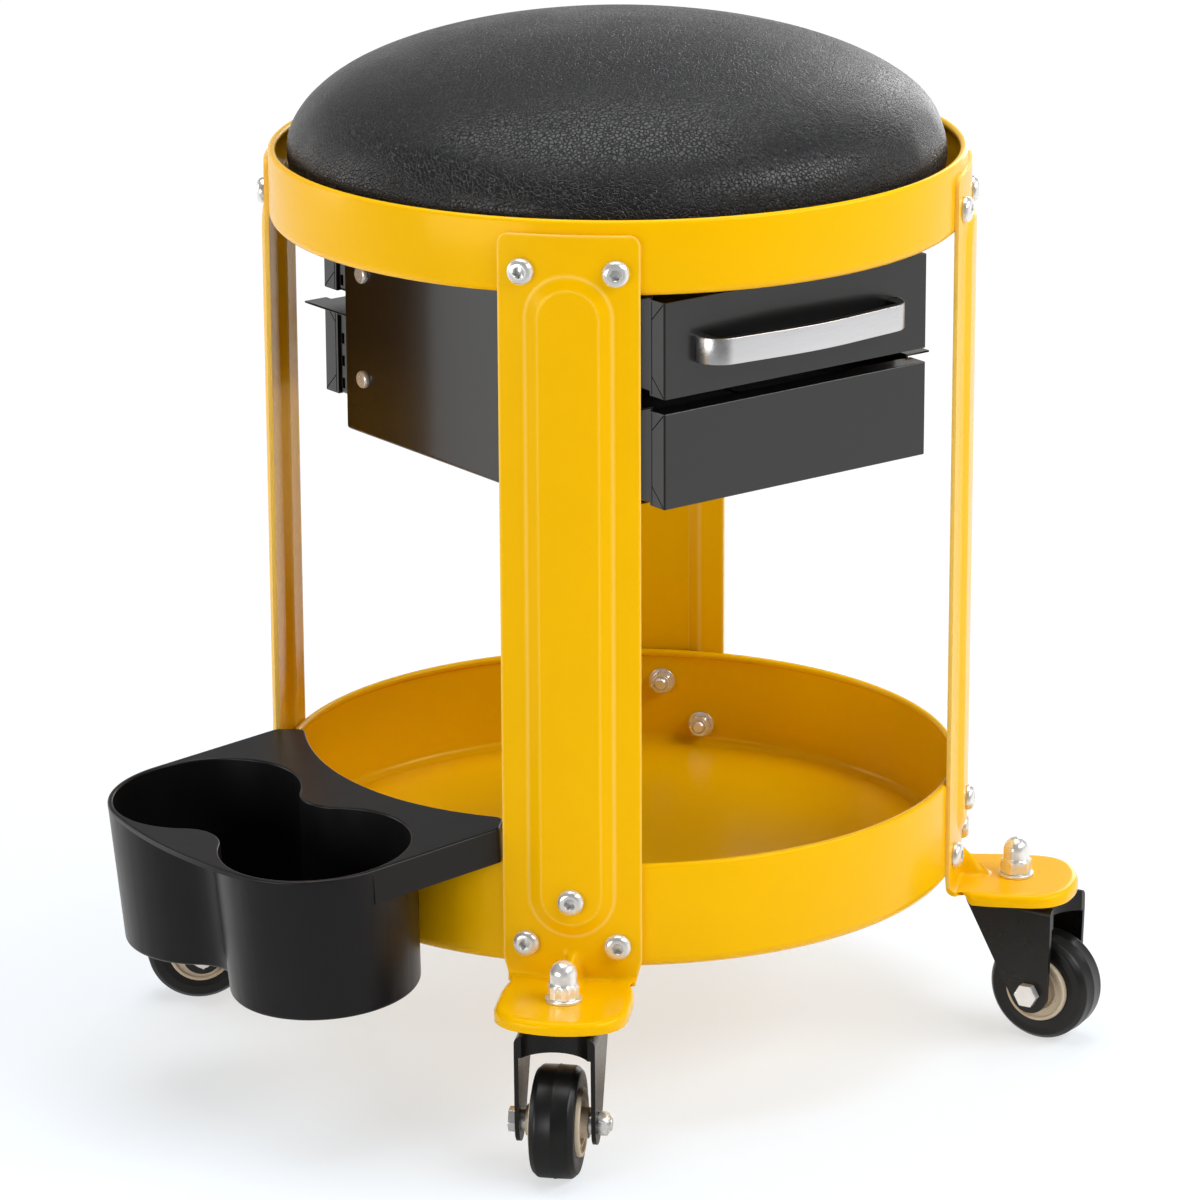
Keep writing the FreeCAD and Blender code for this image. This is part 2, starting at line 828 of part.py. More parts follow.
def drawer_box(bottom):
    """Folded tray with out-turned side flanges and three slots near each back corner."""
    half = drawer_box_half
    top = bottom + drawer_panel_height + drawer_flange_rise
    sheet = drawer_sheet
    section = long_section([
        (-drawer_flange_reach, top),
        (-drawer_flange_reach, top - sheet),
        (-half, top - sheet),
        (-half, bottom, 2 * sheet),
        (half, bottom, 2 * sheet),
        (half, top - sheet),
        (drawer_flange_reach, top - sheet),
        (drawer_flange_reach, top),
        (half - sheet, top),
        (half - sheet, bottom + sheet, sheet),
        (-half + sheet, bottom + sheet, sheet),
        (-half + sheet, top),
    ], drawer_box_length)
    end = drawer_box_length / 2
    end_top = bottom + drawer_panel_height - drawer_end_drop
    walls = []
    for side in (-1, 1):
        near = min(side * end, side * (end - sheet))
        low = Vector(-half + sheet, near, bottom + sheet)
        walls.append(block(low, Vector(half - sheet, near + sheet, end_top)))
    tips = []
    for near, far in ((-drawer_flange_reach, -half), (half, drawer_flange_reach)):
        low = Vector(near, end - drawer_panel_depth, top - sheet)
        tips.append(block(low, Vector(far, drawer_length / 2, top)))
    box = fused([section] + walls + tips)
    cuts = []
    y = end - drawer_slot_setback
    for step in range(drawer_slot_count):
        z = bottom + drawer_slot_rise + step * drawer_slot_pitch
        low = Vector(-half - overrun, y - drawer_slot_width / 2, z - drawer_slot_height / 2)
        high = Vector(half + overrun, y + drawer_slot_width / 2, z + drawer_slot_height / 2)
        cuts.append(block(low, high))
    return box.cut(cuts)


def drawer_panel(bottom, side, screws):
    """Hollow folded end panel. side is -1 at the front and 1 at the back."""
    half = drawer_panel_width / 2
    top = bottom + drawer_panel_height
    sheet = drawer_sheet
    face = drawer_length / 2
    back = face - drawer_panel_depth
    shell = prism([
        (-half, back),
        (half, back),
        (half, face, drawer_panel_edge_round),
        (-half, face, drawer_panel_edge_round),
    ], bottom, top)
    hollow = block(
        Vector(-half + sheet, back + sheet, bottom + sheet),
        Vector(half - sheet, face - sheet, top - sheet),
    )
    window = block(
        Vector(-half + drawer_panel_back_flange, back - overrun, bottom + drawer_panel_back_flange),
        Vector(half - drawer_panel_back_flange, back + 2 * sheet, top - drawer_panel_back_flange),
    )
    panel = shell.cut([hollow, window])
    if screws:
        for x in handle_screw_places():
            z = bottom + handle_above_panel_bottom + handle_height / 2
            hole_radius = handle_screw_diameter / 2 + bolt_hole_clearance
            start = Vector(x, face - 2 * sheet, z)
            panel = panel.cut(rod_along(hole_radius, start, Vector(x, face + overrun, z)))
    return turned(panel, 180.0) if side < 0 else panel


def handle_screw_places():
    x = handle_length / 2 - handle_screw_inset
    return (-x, x)


def bow(depth, inset):
    """Plan corners of the handle's bow, drawn in by inset from its outer face."""
    half = handle_length / 2 - inset
    face = drawer_length / 2
    shoulder = face + handle_shoulder_out - inset
    return [
        (-half, face),
        (-half, shoulder, handle_shoulder_radius - inset),
        (0, face + depth - inset, handle_crown_radius),
        (half, shoulder, handle_shoulder_radius - inset),
        (half, face),
    ]


def handle_piece(bottom, outer_inset, inner_inset):
    low = bottom + handle_above_panel_bottom
    outer = prism(bow(handle_stand_out, outer_inset), low, low + handle_height)
    inner = bow(handle_stand_out, inner_inset)
    inner = [(inner[0][0], inner[0][1] - overrun)] + inner[1:-1] + [(inner[-1][0], inner[-1][1] - overrun)]
    opening = prism(inner, low - overrun, low + handle_height + overrun)
    return outer.cut(opening)


def handle_bar_piece(bottom, side):
    """Dark inner bow with a solid post at each end, screwed from inside the panel."""
    low = bottom + handle_above_panel_bottom
    bar = handle_piece(bottom, handle_trim, handle_bar)
    within = prism(bow(handle_stand_out, handle_trim), low, low + handle_height)
    face = drawer_length / 2
    posts = []
    for end in (-1, 1):
        outer = end * (handle_length / 2 - handle_trim)
        inner = end * (handle_length / 2 - handle_trim - handle_post)
        low_corner = Vector(min(outer, inner), face, low)
        high_corner = Vector(max(outer, inner), face + handle_post, low + handle_height)
        posts.append(block(low_corner, high_corner).common(within))
    whole = fused([bar] + posts)
    for x in handle_screw_places():
        z = low + handle_height / 2
        start = Vector(x, face - overrun, z)
        end_point = Vector(x, face + handle_screw_bite + running_gap, z)
        whole = whole.cut(rod_along(handle_screw_diameter / 2 + thread_clearance, start, end_point))
    return turned(whole, 180.0) if side < 0 else whole


def handle_trim_piece(bottom, side):
    trim = handle_piece(bottom, 0.0, handle_trim)
    return turned(trim, 180.0) if side < 0 else trim


def handle_screws(bottom, side):
    screws = []
    seat = drawer_length / 2 - drawer_sheet
    z = bottom + handle_above_panel_bottom + handle_height / 2
    for x in handle_screw_places():
        shank_end = Vector(x, drawer_length / 2 + handle_screw_bite, z)
        shank = rod_along(handle_screw_diameter / 2, Vector(x, seat, z), shank_end)
        head_start = Vector(x, seat - handle_screw_head_height, z)
        head = rod_along(handle_screw_head_diameter / 2, head_start, Vector(x, seat, z))
        screw = fused([head, shank])
        screws.append(turned(screw, 180.0) if side < 0 else screw)
    return screws


# Twin cup holder

def peanut(lobe_radius, waist_radius, height):
    """Two round lobes joined by a waist, as one wire of arcs."""
    half = cup_half_spacing
    reach = math.sqrt((lobe_radius + waist_radius) ** 2 - half ** 2)
    centre_x = -cup_from_axis
    share = lobe_radius / (lobe_radius + waist_radius)
    edges = []
    for sign_x, sign_y in ((1, 1), (-1, 1), (-1, -1), (1, -1)):
        waist_centre = Vector(centre_x + sign_x * reach, 0, height)
        lobe_centre = Vector(centre_x, sign_y * half, height)
        touch = lobe_centre + (waist_centre - lobe_centre) * share
        waist_mid = waist_centre - Vector(sign_x * waist_radius, 0, 0)
        far = lobe_centre + Vector(0, sign_y * lobe_radius, 0)
        side_way = (far - lobe_centre).normalize() + (touch - lobe_centre).normalize()
        outward = Vector(sign_x, 0, 0)
        blend = side_way.normalize() if side_way.Length > EPSILON_SHARE else outward
        blend = blend if blend.dot(outward) > 0 else outward
        middle = lobe_centre + blend * lobe_radius
        waist_turn = (touch - waist_centre).normalize() + (waist_mid - waist_centre).normalize()
        waist_between = waist_centre + waist_turn.normalize() * waist_radius
        waist_arc = Part.Arc(waist_mid, waist_between, touch).toShape()
        lobe_arc = Part.Arc(touch, middle, far).toShape()
        edges.extend([waist_arc, lobe_arc])
    return Part.Wire(Part.__sortEdges__(edges))


def cup_body(lobe_radius, waist_radius, bottom, top):
    """Tapered twin cup form. The radius given is the one at the holder's top."""
    taper_at_bottom = cup_taper * (cup_top - bottom) / cup_depth
    taper_at_top = cup_taper * (cup_top - top) / cup_depth
    low = peanut(lobe_radius - taper_at_bottom, waist_radius + taper_at_bottom, bottom)
    high = peanut(lobe_radius - taper_at_top, waist_radius + taper_at_top, top)
    return Part.makeLoft([low, high], True, True)


def cup_plan(inset, bottom, top):
    """Prism of the holder's plan: lobes joined by an arc about the seat, with arms to the legs."""
    lobe = cup_outer_radius - inset
    half = cup_half_spacing + lobe
    turn = math.atan2(cup_half_spacing, cup_from_axis)
    far = math.hypot(cup_half_spacing, cup_from_axis) + lobe
    between = (math.pi / 2 + turn) / 2
    edges = [Part.makeLine(Vector(0, half, bottom), Vector(0, -half, bottom))]
    touches = []
    for side in (-1, 1):
        start = Vector(-cup_from_axis, side * half, bottom)
        middle_x = -cup_from_axis - lobe * math.cos(between)
        middle = Vector(middle_x, side * (cup_half_spacing + lobe * math.sin(between)), bottom)
        touch = Vector(-far * math.cos(turn), side * far * math.sin(turn), bottom)
        edges.append(Part.makeLine(Vector(0, side * half, bottom), start))
        edges.append(Part.Arc(start, middle, touch).toShape())
        touches.append(touch)
    edges.append(Part.Arc(touches[0], Vector(-far, 0, bottom), touches[1]).toShape())
    outline = Part.Wire(Part.__sortEdges__(edges))
    body = Part.Face(outline).extrude(Vector(0, 0, top - bottom))
    body = body.cut(cylinder(cup_inner_reach + inset, bottom - overrun, top + overrun))
    for name in ("front_left", "rear_left"):
        half = leg_width / 2 + cup_leg_gap + inset
        keep_out = block(
            Vector(0, -half, bottom - overrun),
            Vector(leg_outer_radius + foot_reach, half, top + overrun),
        )
        body = body.cut(turned(keep_out, LEG_ANGLES[name]))
    arm_edges = [edge for edge in body.Edges if is_upright(edge) and edge.BoundBox.XMin > -cup_inner_reach]
    return body.makeFillet(cup_arm_corner - inset, arm_edges)


def arm_skirt():
    """Turned-down edge round the arms, which stops where the cups' own walls take over."""
    low = cup_top - cup_skirt_depth
    skirt = cup_plan(0.0, low, cup_under_edge).cut(cup_plan(cup_skirt_wall, low - overrun, cup_top + overrun))
    arms = block(
        Vector(-cup_from_axis, -cup_from_axis, low - overrun),
        Vector(0, cup_from_axis, cup_top + overrun),
    )
    return skirt.common(arms)


def hook_walls():
    """Inner lip, resting web and outer wall that hang the holder on the tray rim."""
    back_bore = shell_radius + cup_back_gap
    back_outer = back_bore + cup_hook_wall
    lip_outer = cup_inner_reach + cup_hook_wall
    sector = cup_plan(0.0, tray_floor_height, cup_under_edge)
    lip = tube(lip_outer, cup_inner_reach, cup_top - cup_hook_depth, cup_top).common(sector)
    web = tube(back_outer, cup_inner_reach, tray_top, tray_top + cup_hook_rest).common(sector)
    back = tube(back_outer, back_bore, cup_top - cup_back_depth, cup_top).common(sector)
    return [lip, web, back]


def cup_holder():
    outer = cup_body(cup_outer_radius, cup_waist_radius - cup_wall, cup_bottom, cup_under_edge)
    low_rim = [edge for edge in outer.Edges if edge.BoundBox.ZMax < cup_bottom + EPSILON_SHARE]
    outer = outer.makeFillet(cup_bottom_round, low_rim)
    plate = cup_plan(0.0, cup_top - cup_plate, cup_top)
    plate = plate.cut(cup_body(cup_inner_radius, cup_waist_radius, cup_bottom, cup_top + cup_floor))
    rims = [edge for edge in plate.Edges if edge.BoundBox.ZMin > cup_top - EPSILON_SHARE]
    plate = plate.makeFillet(cup_edge_round, rims)
    hollow = cup_body(cup_inner_radius, cup_waist_radius, cup_bottom + cup_floor, cup_top + cup_floor)
    carrier = fused([plate, arm_skirt()] + hook_walls())
    whole = fused([carrier, outer.cut(hollow)]).cut(hollow)
    whole = turned(whole, -cup_tilt, Vector(-shell_radius, 0, cup_top), Vector(0, 1, 0))
    rim_room = tube(
        shell_radius + running_gap,
        shell_radius - rim_bead_diameter - running_gap,
        tray_floor_height,
        tray_top + running_gap,
    )
    return whole.cut(rim_room)


# Casters, each made with its stud on the Z axis and trailing along X

def fork():
    half = fork_inner_width / 2
    outer_half = half + fork_sheet
    end = Vector(fork_trail, 0, wheel_radius)
    corner = Vector(-fork_leading_reach + fork_leading_slope, 0, crown_top - fork_leading_drop)
    away = end - corner
    slope = math.atan2(away.z, away.x)
    lean = math.asin(fork_end_radius / away.Length)
    reach = away.Length * math.cos(lean)
    heading = slope - lean
    tangent_x = corner.x + reach * math.cos(heading)
    tangent_z = corner.z + reach * math.sin(heading)
    trailing = fork_trail + fork_end_radius
    side = Part.Wire([
        Part.makeLine(Vector(-fork_leading_reach, -outer_half, crown_top), Vector(corner.x, -outer_half, corner.z)),
        Part.makeLine(Vector(corner.x, -outer_half, corner.z), Vector(tangent_x, -outer_half, tangent_z)),
        Part.Arc(
            Vector(tangent_x, -outer_half, tangent_z),
            Vector(fork_trail, -outer_half, wheel_radius - fork_end_radius),
            Vector(trailing, -outer_half, wheel_radius),
        ).toShape(),
        Part.makeLine(
            Vector(trailing, -outer_half, wheel_radius),
            Vector(fork_trailing_reach, -outer_half, crown_underside - fork_skirt_depth),
        ),
        Part.makeLine(
            Vector(fork_trailing_reach, -outer_half, crown_underside - fork_skirt_depth),
            Vector(fork_trailing_reach, -outer_half, crown_top),
        ),
        Part.makeLine(
            Vector(fork_trailing_reach, -outer_half, crown_top),
            Vector(-fork_leading_reach, -outer_half, crown_top),
        ),
    ])
    body = Part.Face(side).extrude(Vector(0, 2 * outer_half, 0))
    bends = []
    for edge in body.Edges:
        box = edge.BoundBox
        along_top = box.ZMin > crown_top - EPSILON_SHARE and box.YLength < EPSILON_SHARE
        if along_top:
            bends.append(edge)
    body = body.makeFillet(fork_bend_radius, bends)
    channel = end_prism([
        (-half, -overrun),
        (half, -overrun),
        (half, crown_underside, fork_bend_radius - fork_sheet),
        (-half, crown_underside, fork_bend_radius - fork_sheet),
    ], -fork_leading_reach - overrun, fork_trailing_reach + overrun)
    notch_x = fork_trailing_reach + fork_notch_radius - fork_notch_depth
    notch = cylinder(fork_notch_radius, crown_underside - overrun, crown_top + overrun, notch_x)
    skirt_low = crown_underside - fork_skirt_depth
    skirt = cylinder(fork_notch_radius + fork_sheet, skirt_low, crown_top - fork_sheet / 2, notch_x)
    skirt = skirt.cut(cylinder(fork_notch_radius, skirt_low - overrun, crown_top + overrun, notch_x))
    room = block(
        Vector(0, -half, skirt_low - overrun),
        Vector(fork_trailing_reach, half, crown_top + overrun),
    )
    whole = fused([body.cut([channel, notch]), skirt.common(room)])
    stud_hole = cylinder(stud_diameter / 2 + pivot_clearance, crown_underside - overrun, crown_top + overrun)
    axle_hole = rod_along(
        axle_diameter / 2 + thread_clearance,
        Vector(fork_trail, -outer_half - overrun, wheel_radius),
        Vector(fork_trail, outer_half + overrun, wheel_radius),
    )
    return whole.cut([stud_hole, axle_hole])


def about_axle(shape):
    """Turns a piece made about Z so that it lies about the wheel's axle."""
    laid = turned(shape, -90.0, Vector(0, 0, 0), Vector(1, 0, 0))
    return moved(laid, fork_trail, 0.0, wheel_radius)


def tyre():
    half = tread_width / 2
    return about_axle(turned_profile([
        (hub_diameter / 2, -half),
        (wheel_radius, -half, tread_shoulder),
        (wheel_radius, half, tread_shoulder),
        (hub_diameter / 2, half),
    ]))


def hub():
    """Two-flange hub with a dished face and a bored boss."""
    outer = hub_diameter / 2
    half = hub_width / 2
    dish = hub_dish_diameter / 2
    boss = hub_boss_diameter / 2
    boss_half = hub_boss_width / 2
    bore = axle_sleeve_diameter / 2 + pivot_clearance
    one_side = [
        (bore, boss_half),
        (boss, boss_half),
        (boss, half - hub_dish_depth),
        (dish, half - hub_dish_depth),
        (dish, half),
        (outer, half, hub_lip),
    ]
    return about_axle(turned_profile(one_side + mirror_images(one_side)))


def axle_sleeve():
    half = fork_inner_width / 2 - thread_clearance
    return about_axle(tube(axle_sleeve_diameter / 2, axle_diameter / 2 + thread_clearance, -half, half))


def axle_bolt():
    outer = fork_inner_width / 2 + fork_sheet
    head = hexagon(leg_nut_across_flats, -outer - axle_head_height, -outer)
    shank = cylinder(axle_diameter / 2, -outer, outer + axle_nut_height + axle_end)
    return about_axle(fused([head, shank]))


def axle_nut():
    outer = fork_inner_width / 2 + fork_sheet
    nut = hexagon(leg_nut_across_flats, outer, outer + axle_nut_height)
    bore = cylinder(axle_diameter / 2 + thread_clearance, outer - overrun, outer + axle_nut_height + overrun)
    return about_axle(nut.cut(bore))


def race_cup():
    """Pressed channel that holds the swivel balls under the foot."""
    outer = race_diameter / 2
    inner = race_inner_diameter / 2
    bore = stud_diameter / 2 + bolt_hole_clearance
    underside = foot_underside - race_sheet
    return turned_profile([
        (bore, underside),
        (inner, underside),
        (inner, race_underside),
        (inner + race_sheet, race_underside),
        (inner + race_sheet, underside),
        (outer - race_sheet, underside),
        (outer - race_sheet, race_underside),
        (outer, race_underside),
        (outer, foot_underside, race_sheet / 2),
        (bore, foot_underside),
    ])


def race_balls():
    """Ring of balls that carries the foot on the fork crown."""
    balls = []
    track = (race_diameter + race_inner_diameter) / 4
    height = crown_top + race_ball_diameter / 2 + running_gap
    for step in range(race_ball_count):
        angle = math.radians(360.0 * step / race_ball_count)
        place = Vector(track * math.cos(angle), track * math.sin(angle), height)
        balls.append(Part.makeSphere(race_ball_diameter / 2, place))
    return balls


def caster_stud():
    top = foot_top + cap_washer_thickness + cap_nut_hex_height + cap_nut_wall
    head_top = crown_underside - running_gap
    shank = cylinder(stud_diameter / 2, head_top, top)
    head = cylinder(stud_head_diameter / 2, head_top - stud_head_height, head_top)
    return fused([head, shank])


def cap_washer():
    hole = stud_diameter / 2 + bolt_hole_clearance
    return tube(cap_washer_diameter / 2, hole, foot_top, foot_top + cap_washer_thickness)


def cap_nut():
    bottom = foot_top + cap_washer_thickness
    top = bottom + cap_nut_height
    dome_radius = cap_nut_across_flats / 2 - thread_clearance
    hexagonal = hexagon(cap_nut_across_flats, bottom, bottom + cap_nut_hex_height)
    chamfer = cap_nut_across_flats * HEXAGON_CORNER_SHARE - dome_radius
    bevel = turned_profile([
        (0, bottom - overrun),
        (dome_radius + chamfer, bottom - overrun),
        (dome_radius + chamfer, bottom + cap_nut_hex_height - chamfer),
        (dome_radius, bottom + cap_nut_hex_height),
        (0, bottom + cap_nut_hex_height),
    ])
    dome_side = top - dome_radius
    dome = cylinder(dome_radius, bottom + overrun, dome_side)
    ball = Part.makeSphere(dome_radius, Vector(0, 0, dome_side))
    bore_top = bottom + cap_nut_hex_height + cap_nut_wall + thread_clearance
    bore = cylinder(stud_diameter / 2 + thread_clearance, bottom - overrun, bore_top)
    return fused([hexagonal.common(bevel), dome, ball]).cut(bore)


def at_caster(shape, name, trail=True):
    """Moves a piece made on the stud's axis to the named corner."""
    angle = math.radians(LEG_ANGLES[name])
    facing = turned(shape, TRAIL_ANGLES[name] if trail else LEG_ANGLES[name])
    return moved(facing, stud_from_axis * math.cos(angle), stud_from_axis * math.sin(angle))


def at_each_caster(pieces):
    placed = []
    for name in LEG_ANGLES:
        placed.extend(at_caster(piece, name, trail=False) for piece in pieces)
    return placed


def all_pieces():
    pieces = {
        "seat_cover": [seat_cover()],
        "seat_foam": [seat_foam()],
        "seat_board": [seat_board()],
        "board_tee_nuts": board_tee_nuts(),
        "seat_pan": [seat_pan()],
        "tool_tray": [tool_tray()],
        "leg_bolts": leg_bolts(),
        "leg_washers": leg_washers(),
        "leg_nuts": leg_nuts(),
        "drawer_case": [drawer_case()],
        "case_bolts": case_bolts(),
        "upper_runners": runner_pair(upper_drawer_bottom),
        "lower_runners": runner_pair(lower_drawer_bottom),
        "runner_rivets": runner_rivets(),
        "cap_nuts": at_each_caster([cap_nut()]),
        "cap_nut_washers": at_each_caster([cap_washer()]),
        "caster_studs": at_each_caster([caster_stud()]),
        "race_cups": at_each_caster([race_cup()]),
        "race_balls": at_each_caster(race_balls()),
        "cup_holder": [cup_holder()],
    }
    blank_leg = leg()
    for name, angle in LEG_ANGLES.items():
        pieces[name + "_leg"] = [turned(blank_leg, angle)]
    for level, bottom, side in (("upper", upper_drawer_bottom, -1), ("lower", lower_drawer_bottom, 1)):
        pieces[level + "_drawer_box"] = [drawer_box(bottom)]
        pieces[level + "_drawer_front"] = [drawer_panel(bottom, -1, side < 0)]
        pieces[level + "_drawer_back"] = [drawer_panel(bottom, 1, side > 0)]
        pieces[level + "_handle"] = [handle_bar_piece(bottom, side)]
        pieces[level + "_handle_trim"] = [handle_trim_piece(bottom, side)]
        pieces[level + "_handle_screws"] = handle_screws(bottom, side)
    caster = {"fork": fork(), "tyre": tyre(), "hub": hub(), "axle_sleeve": axle_sleeve()}
    caster["axle_bolt"] = axle_bolt()
    caster["axle_nut"] = axle_nut()
    for name in LEG_ANGLES:
        for piece, shape in caster.items():
            pieces[name + "_" + piece] = [at_caster(shape, name)]
    return pieces


def footprint_middle(pieces):
    """Middle of the whole stool's extent along X."""
    boxes = [shape.optimalBoundingBox() for shapes in pieces.values() for shape in shapes]
    return (min(box.XMin for box in boxes) + max(box.XMax for box in boxes)) / 2


def main():
    os.makedirs("parts", exist_ok=True)
    pieces = all_pieces()
    shift = -footprint_middle(pieces)
    for name, shapes in pieces.items():
        placed = [moved(shape, shift) for shape in shapes]
        for shape in placed:
            if not shape.isValid() or len(shape.Solids) != 1:
                print("check", name, shape.isValid(), len(shape.Solids))
        whole = placed[0] if len(placed) == 1 else Part.makeCompound(placed)
        whole.exportStep(os.path.join("parts", name + ".step"))
    print("nodes", len(pieces))
    print("seat axis at x =", round(shift, 4))


main()
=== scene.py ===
# %% [markdown]
# A rolling workshop stool: a padded round seat in a yellow steel pan, four pressed legs, a tool
# tray, two black drawers, a twin cup holder and four casters. This cell fetches the measured
# model. Nothing in it is moved: pieces get finishes, or a finer mesh takes their place. Lengths
# are metres, or millimetres times MM, and the floor is at z = 0.

# %% Load the measured model
import json
import math
import bmesh
import bpy
from mathutils import Matrix, Vector


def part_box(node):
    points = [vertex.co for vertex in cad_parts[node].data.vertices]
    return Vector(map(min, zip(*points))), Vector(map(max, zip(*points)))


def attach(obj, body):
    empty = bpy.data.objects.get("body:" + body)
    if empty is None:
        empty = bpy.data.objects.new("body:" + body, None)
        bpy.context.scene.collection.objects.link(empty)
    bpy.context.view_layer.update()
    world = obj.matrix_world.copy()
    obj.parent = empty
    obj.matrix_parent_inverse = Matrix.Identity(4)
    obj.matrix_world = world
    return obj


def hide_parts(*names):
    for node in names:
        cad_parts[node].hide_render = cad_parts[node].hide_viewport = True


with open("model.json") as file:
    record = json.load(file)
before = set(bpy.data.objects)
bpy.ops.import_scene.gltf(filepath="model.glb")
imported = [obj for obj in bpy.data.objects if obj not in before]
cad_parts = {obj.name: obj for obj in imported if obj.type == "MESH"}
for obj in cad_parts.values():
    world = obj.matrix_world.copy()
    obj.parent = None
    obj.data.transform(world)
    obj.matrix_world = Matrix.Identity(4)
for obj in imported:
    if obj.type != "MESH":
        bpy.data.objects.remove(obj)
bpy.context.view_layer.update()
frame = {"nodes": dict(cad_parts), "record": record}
scene = bpy.context.scene
MM = 0.001


def link_object(name, data):
    thing = bpy.data.objects.new(name, data)
    scene.collection.objects.link(thing)
    return thing


def mesh_from(name, points, faces=()):
    mesh = bpy.data.meshes.new(name)
    mesh.from_pydata(points, [], faces)
    return mesh


# %% [markdown]
# The pan, the tray and the legs are all built round one upright axis, the seat's. Its place
# comes from the pan's own box, so the pieces made here sit where the measured ones do.

# %% Where the seat's axis stands
pan_low, pan_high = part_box("seat_pan")
axis_x = (pan_low.x + pan_high.x) / 2
axis_y = (pan_low.y + pan_high.y) / 2
SEAT_AXIS = Matrix.Translation((axis_x, axis_y, 0.0))
print("seat axis", round(axis_x, 5), round(axis_y, 5))

# %% [markdown]
# The camera stands where the photographer stood: a long lens, about two and a half metres
# away, a little above the seat. Its three directions were solved from the stool's own
# circles and bolts, so they are written down rather than aimed by eye.

# %% Camera
camera_data = bpy.data.cameras.new("camera")
camera_data.lens = 167.01
camera_data.sensor_width = 36.0
camera = link_object("camera", camera_data)
camera_right = Vector((0.79714, -0.60378, -0.00429))
camera_up = Vector((0.18139, 0.23268, 0.95549))
camera_back = camera_right.cross(camera_up)
turn = Matrix((camera_right, camera_up, camera_back)).transposed().to_4x4()
camera_place = Vector((axis_x - 1.50128, axis_y - 1.97263, 0.96868))
camera.matrix_world = Matrix.Translation(camera_place) @ turn
scene.camera = camera
scene.view_settings.view_transform = "Standard"
print("camera looks along", [round(value, 3) for value in -camera_back])

# %% [markdown]
# A finish is a small graph of nodes. These helpers add a node, set or link its inputs, and
# start a Principled material. What is the same all over a piece goes straight on the shader's
# own sockets.

# %% Helpers for node graphs
def add_node(tree, kind, inputs=None, **settings):
    """A node with its settings, and inputs that are values or other nodes' outputs."""
    node = tree.nodes.new(kind)
    for key, value in settings.items():
        setattr(node, key, value)
    for label, value in (inputs or {}).items():
        if isinstance(value, bpy.types.NodeSocket):
            tree.links.new(value, node.inputs[label])
        else:
            node.inputs[label].default_value = value
    return node


def math_node(tree, operation, *values):
    return add_node(tree, "ShaderNodeMath", dict(enumerate(values)), operation=operation).outputs[0]


def vector_node(tree, operation, *values):
    inputs = dict(enumerate(values))
    return add_node(tree, "ShaderNodeVectorMath", inputs, operation=operation).outputs


def object_place(tree):
    return add_node(tree, "ShaderNodeTexCoord").outputs["Object"]


def principled(name, colour, roughness, metallic=0.0, coat=0.0, specular=0.5):
    material = bpy.data.materials.new(name)
    material.use_nodes = True
    shader = material.node_tree.nodes["Principled BSDF"]
    values = {"Base Color": (*colour, 1.0), "Roughness": roughness, "Metallic": metallic}
    values |= {"Coat Weight": coat, "Coat Roughness": 0.14, "Specular IOR Level": specular}
    for label, value in values.items():
        shader.inputs[label].default_value = value
    return material, shader, material.node_tree


def feed(shader, colour, roughness, normal=None):
    """Links the patterns that vary over a piece to the shader."""
    for label, source in (("Base Color", colour), ("Roughness", roughness), ("Normal", normal)):
        if source:
            shader.id_data.links.new(source, shader.inputs[label])

# %% [markdown]
# The patterns themselves: noise on the object's own coordinates, a range that maps it to other
# numbers, a ramp that maps it to two colours, and a bump that tilts the surface by it.

# %% Patterns
def noise_texture(tree, size, detail=2.0, stretch=None):
    """Noise whose blobs are about size metres across."""
    place = object_place(tree)
    if stretch:
        scaled = {"Vector": place, "Scale": stretch}
        place = add_node(tree, "ShaderNodeMapping", scaled).outputs["Vector"]
    inputs = {"Vector": place, "Scale": 1.0 / size, "Detail": detail}
    return add_node(tree, "ShaderNodeTexNoise", inputs).outputs["Fac"]


def spread(tree, source, low, high, first=0.3, last=0.7, **settings):
    """Maps the range from first to last, where noise mostly stays, to low and high."""
    inputs = {"Value": source, "From Min": first, "From Max": last, "To Min": low, "To Max": high}
    return add_node(tree, "ShaderNodeMapRange", inputs, **settings).outputs["Result"]


def two_tone(tree, source, first, second, low=0.3, high=0.7):
    ramp = add_node(tree, "ShaderNodeValToRGB", {"Fac": source})
    for element, place, colour in zip(ramp.color_ramp.elements, (low, high), (first, second)):
        element.position = place
        element.color = (*colour, 1.0)
    return ramp.outputs["Color"]


def mottled(tree, source, colour, low, high):
    """The colour, varied between two factors by a pattern."""
    first, second = (tuple(value * factor for value in colour) for factor in (low, high))
    return two_tone(tree, source, first, second)


def bump(tree, height, depth, strength=1.0, under=None):
    inputs = {"Height": height, "Distance": depth, "Strength": strength}
    if under:
        inputs["Normal"] = under
    return add_node(tree, "ShaderNodeBump", inputs).outputs["Normal"]
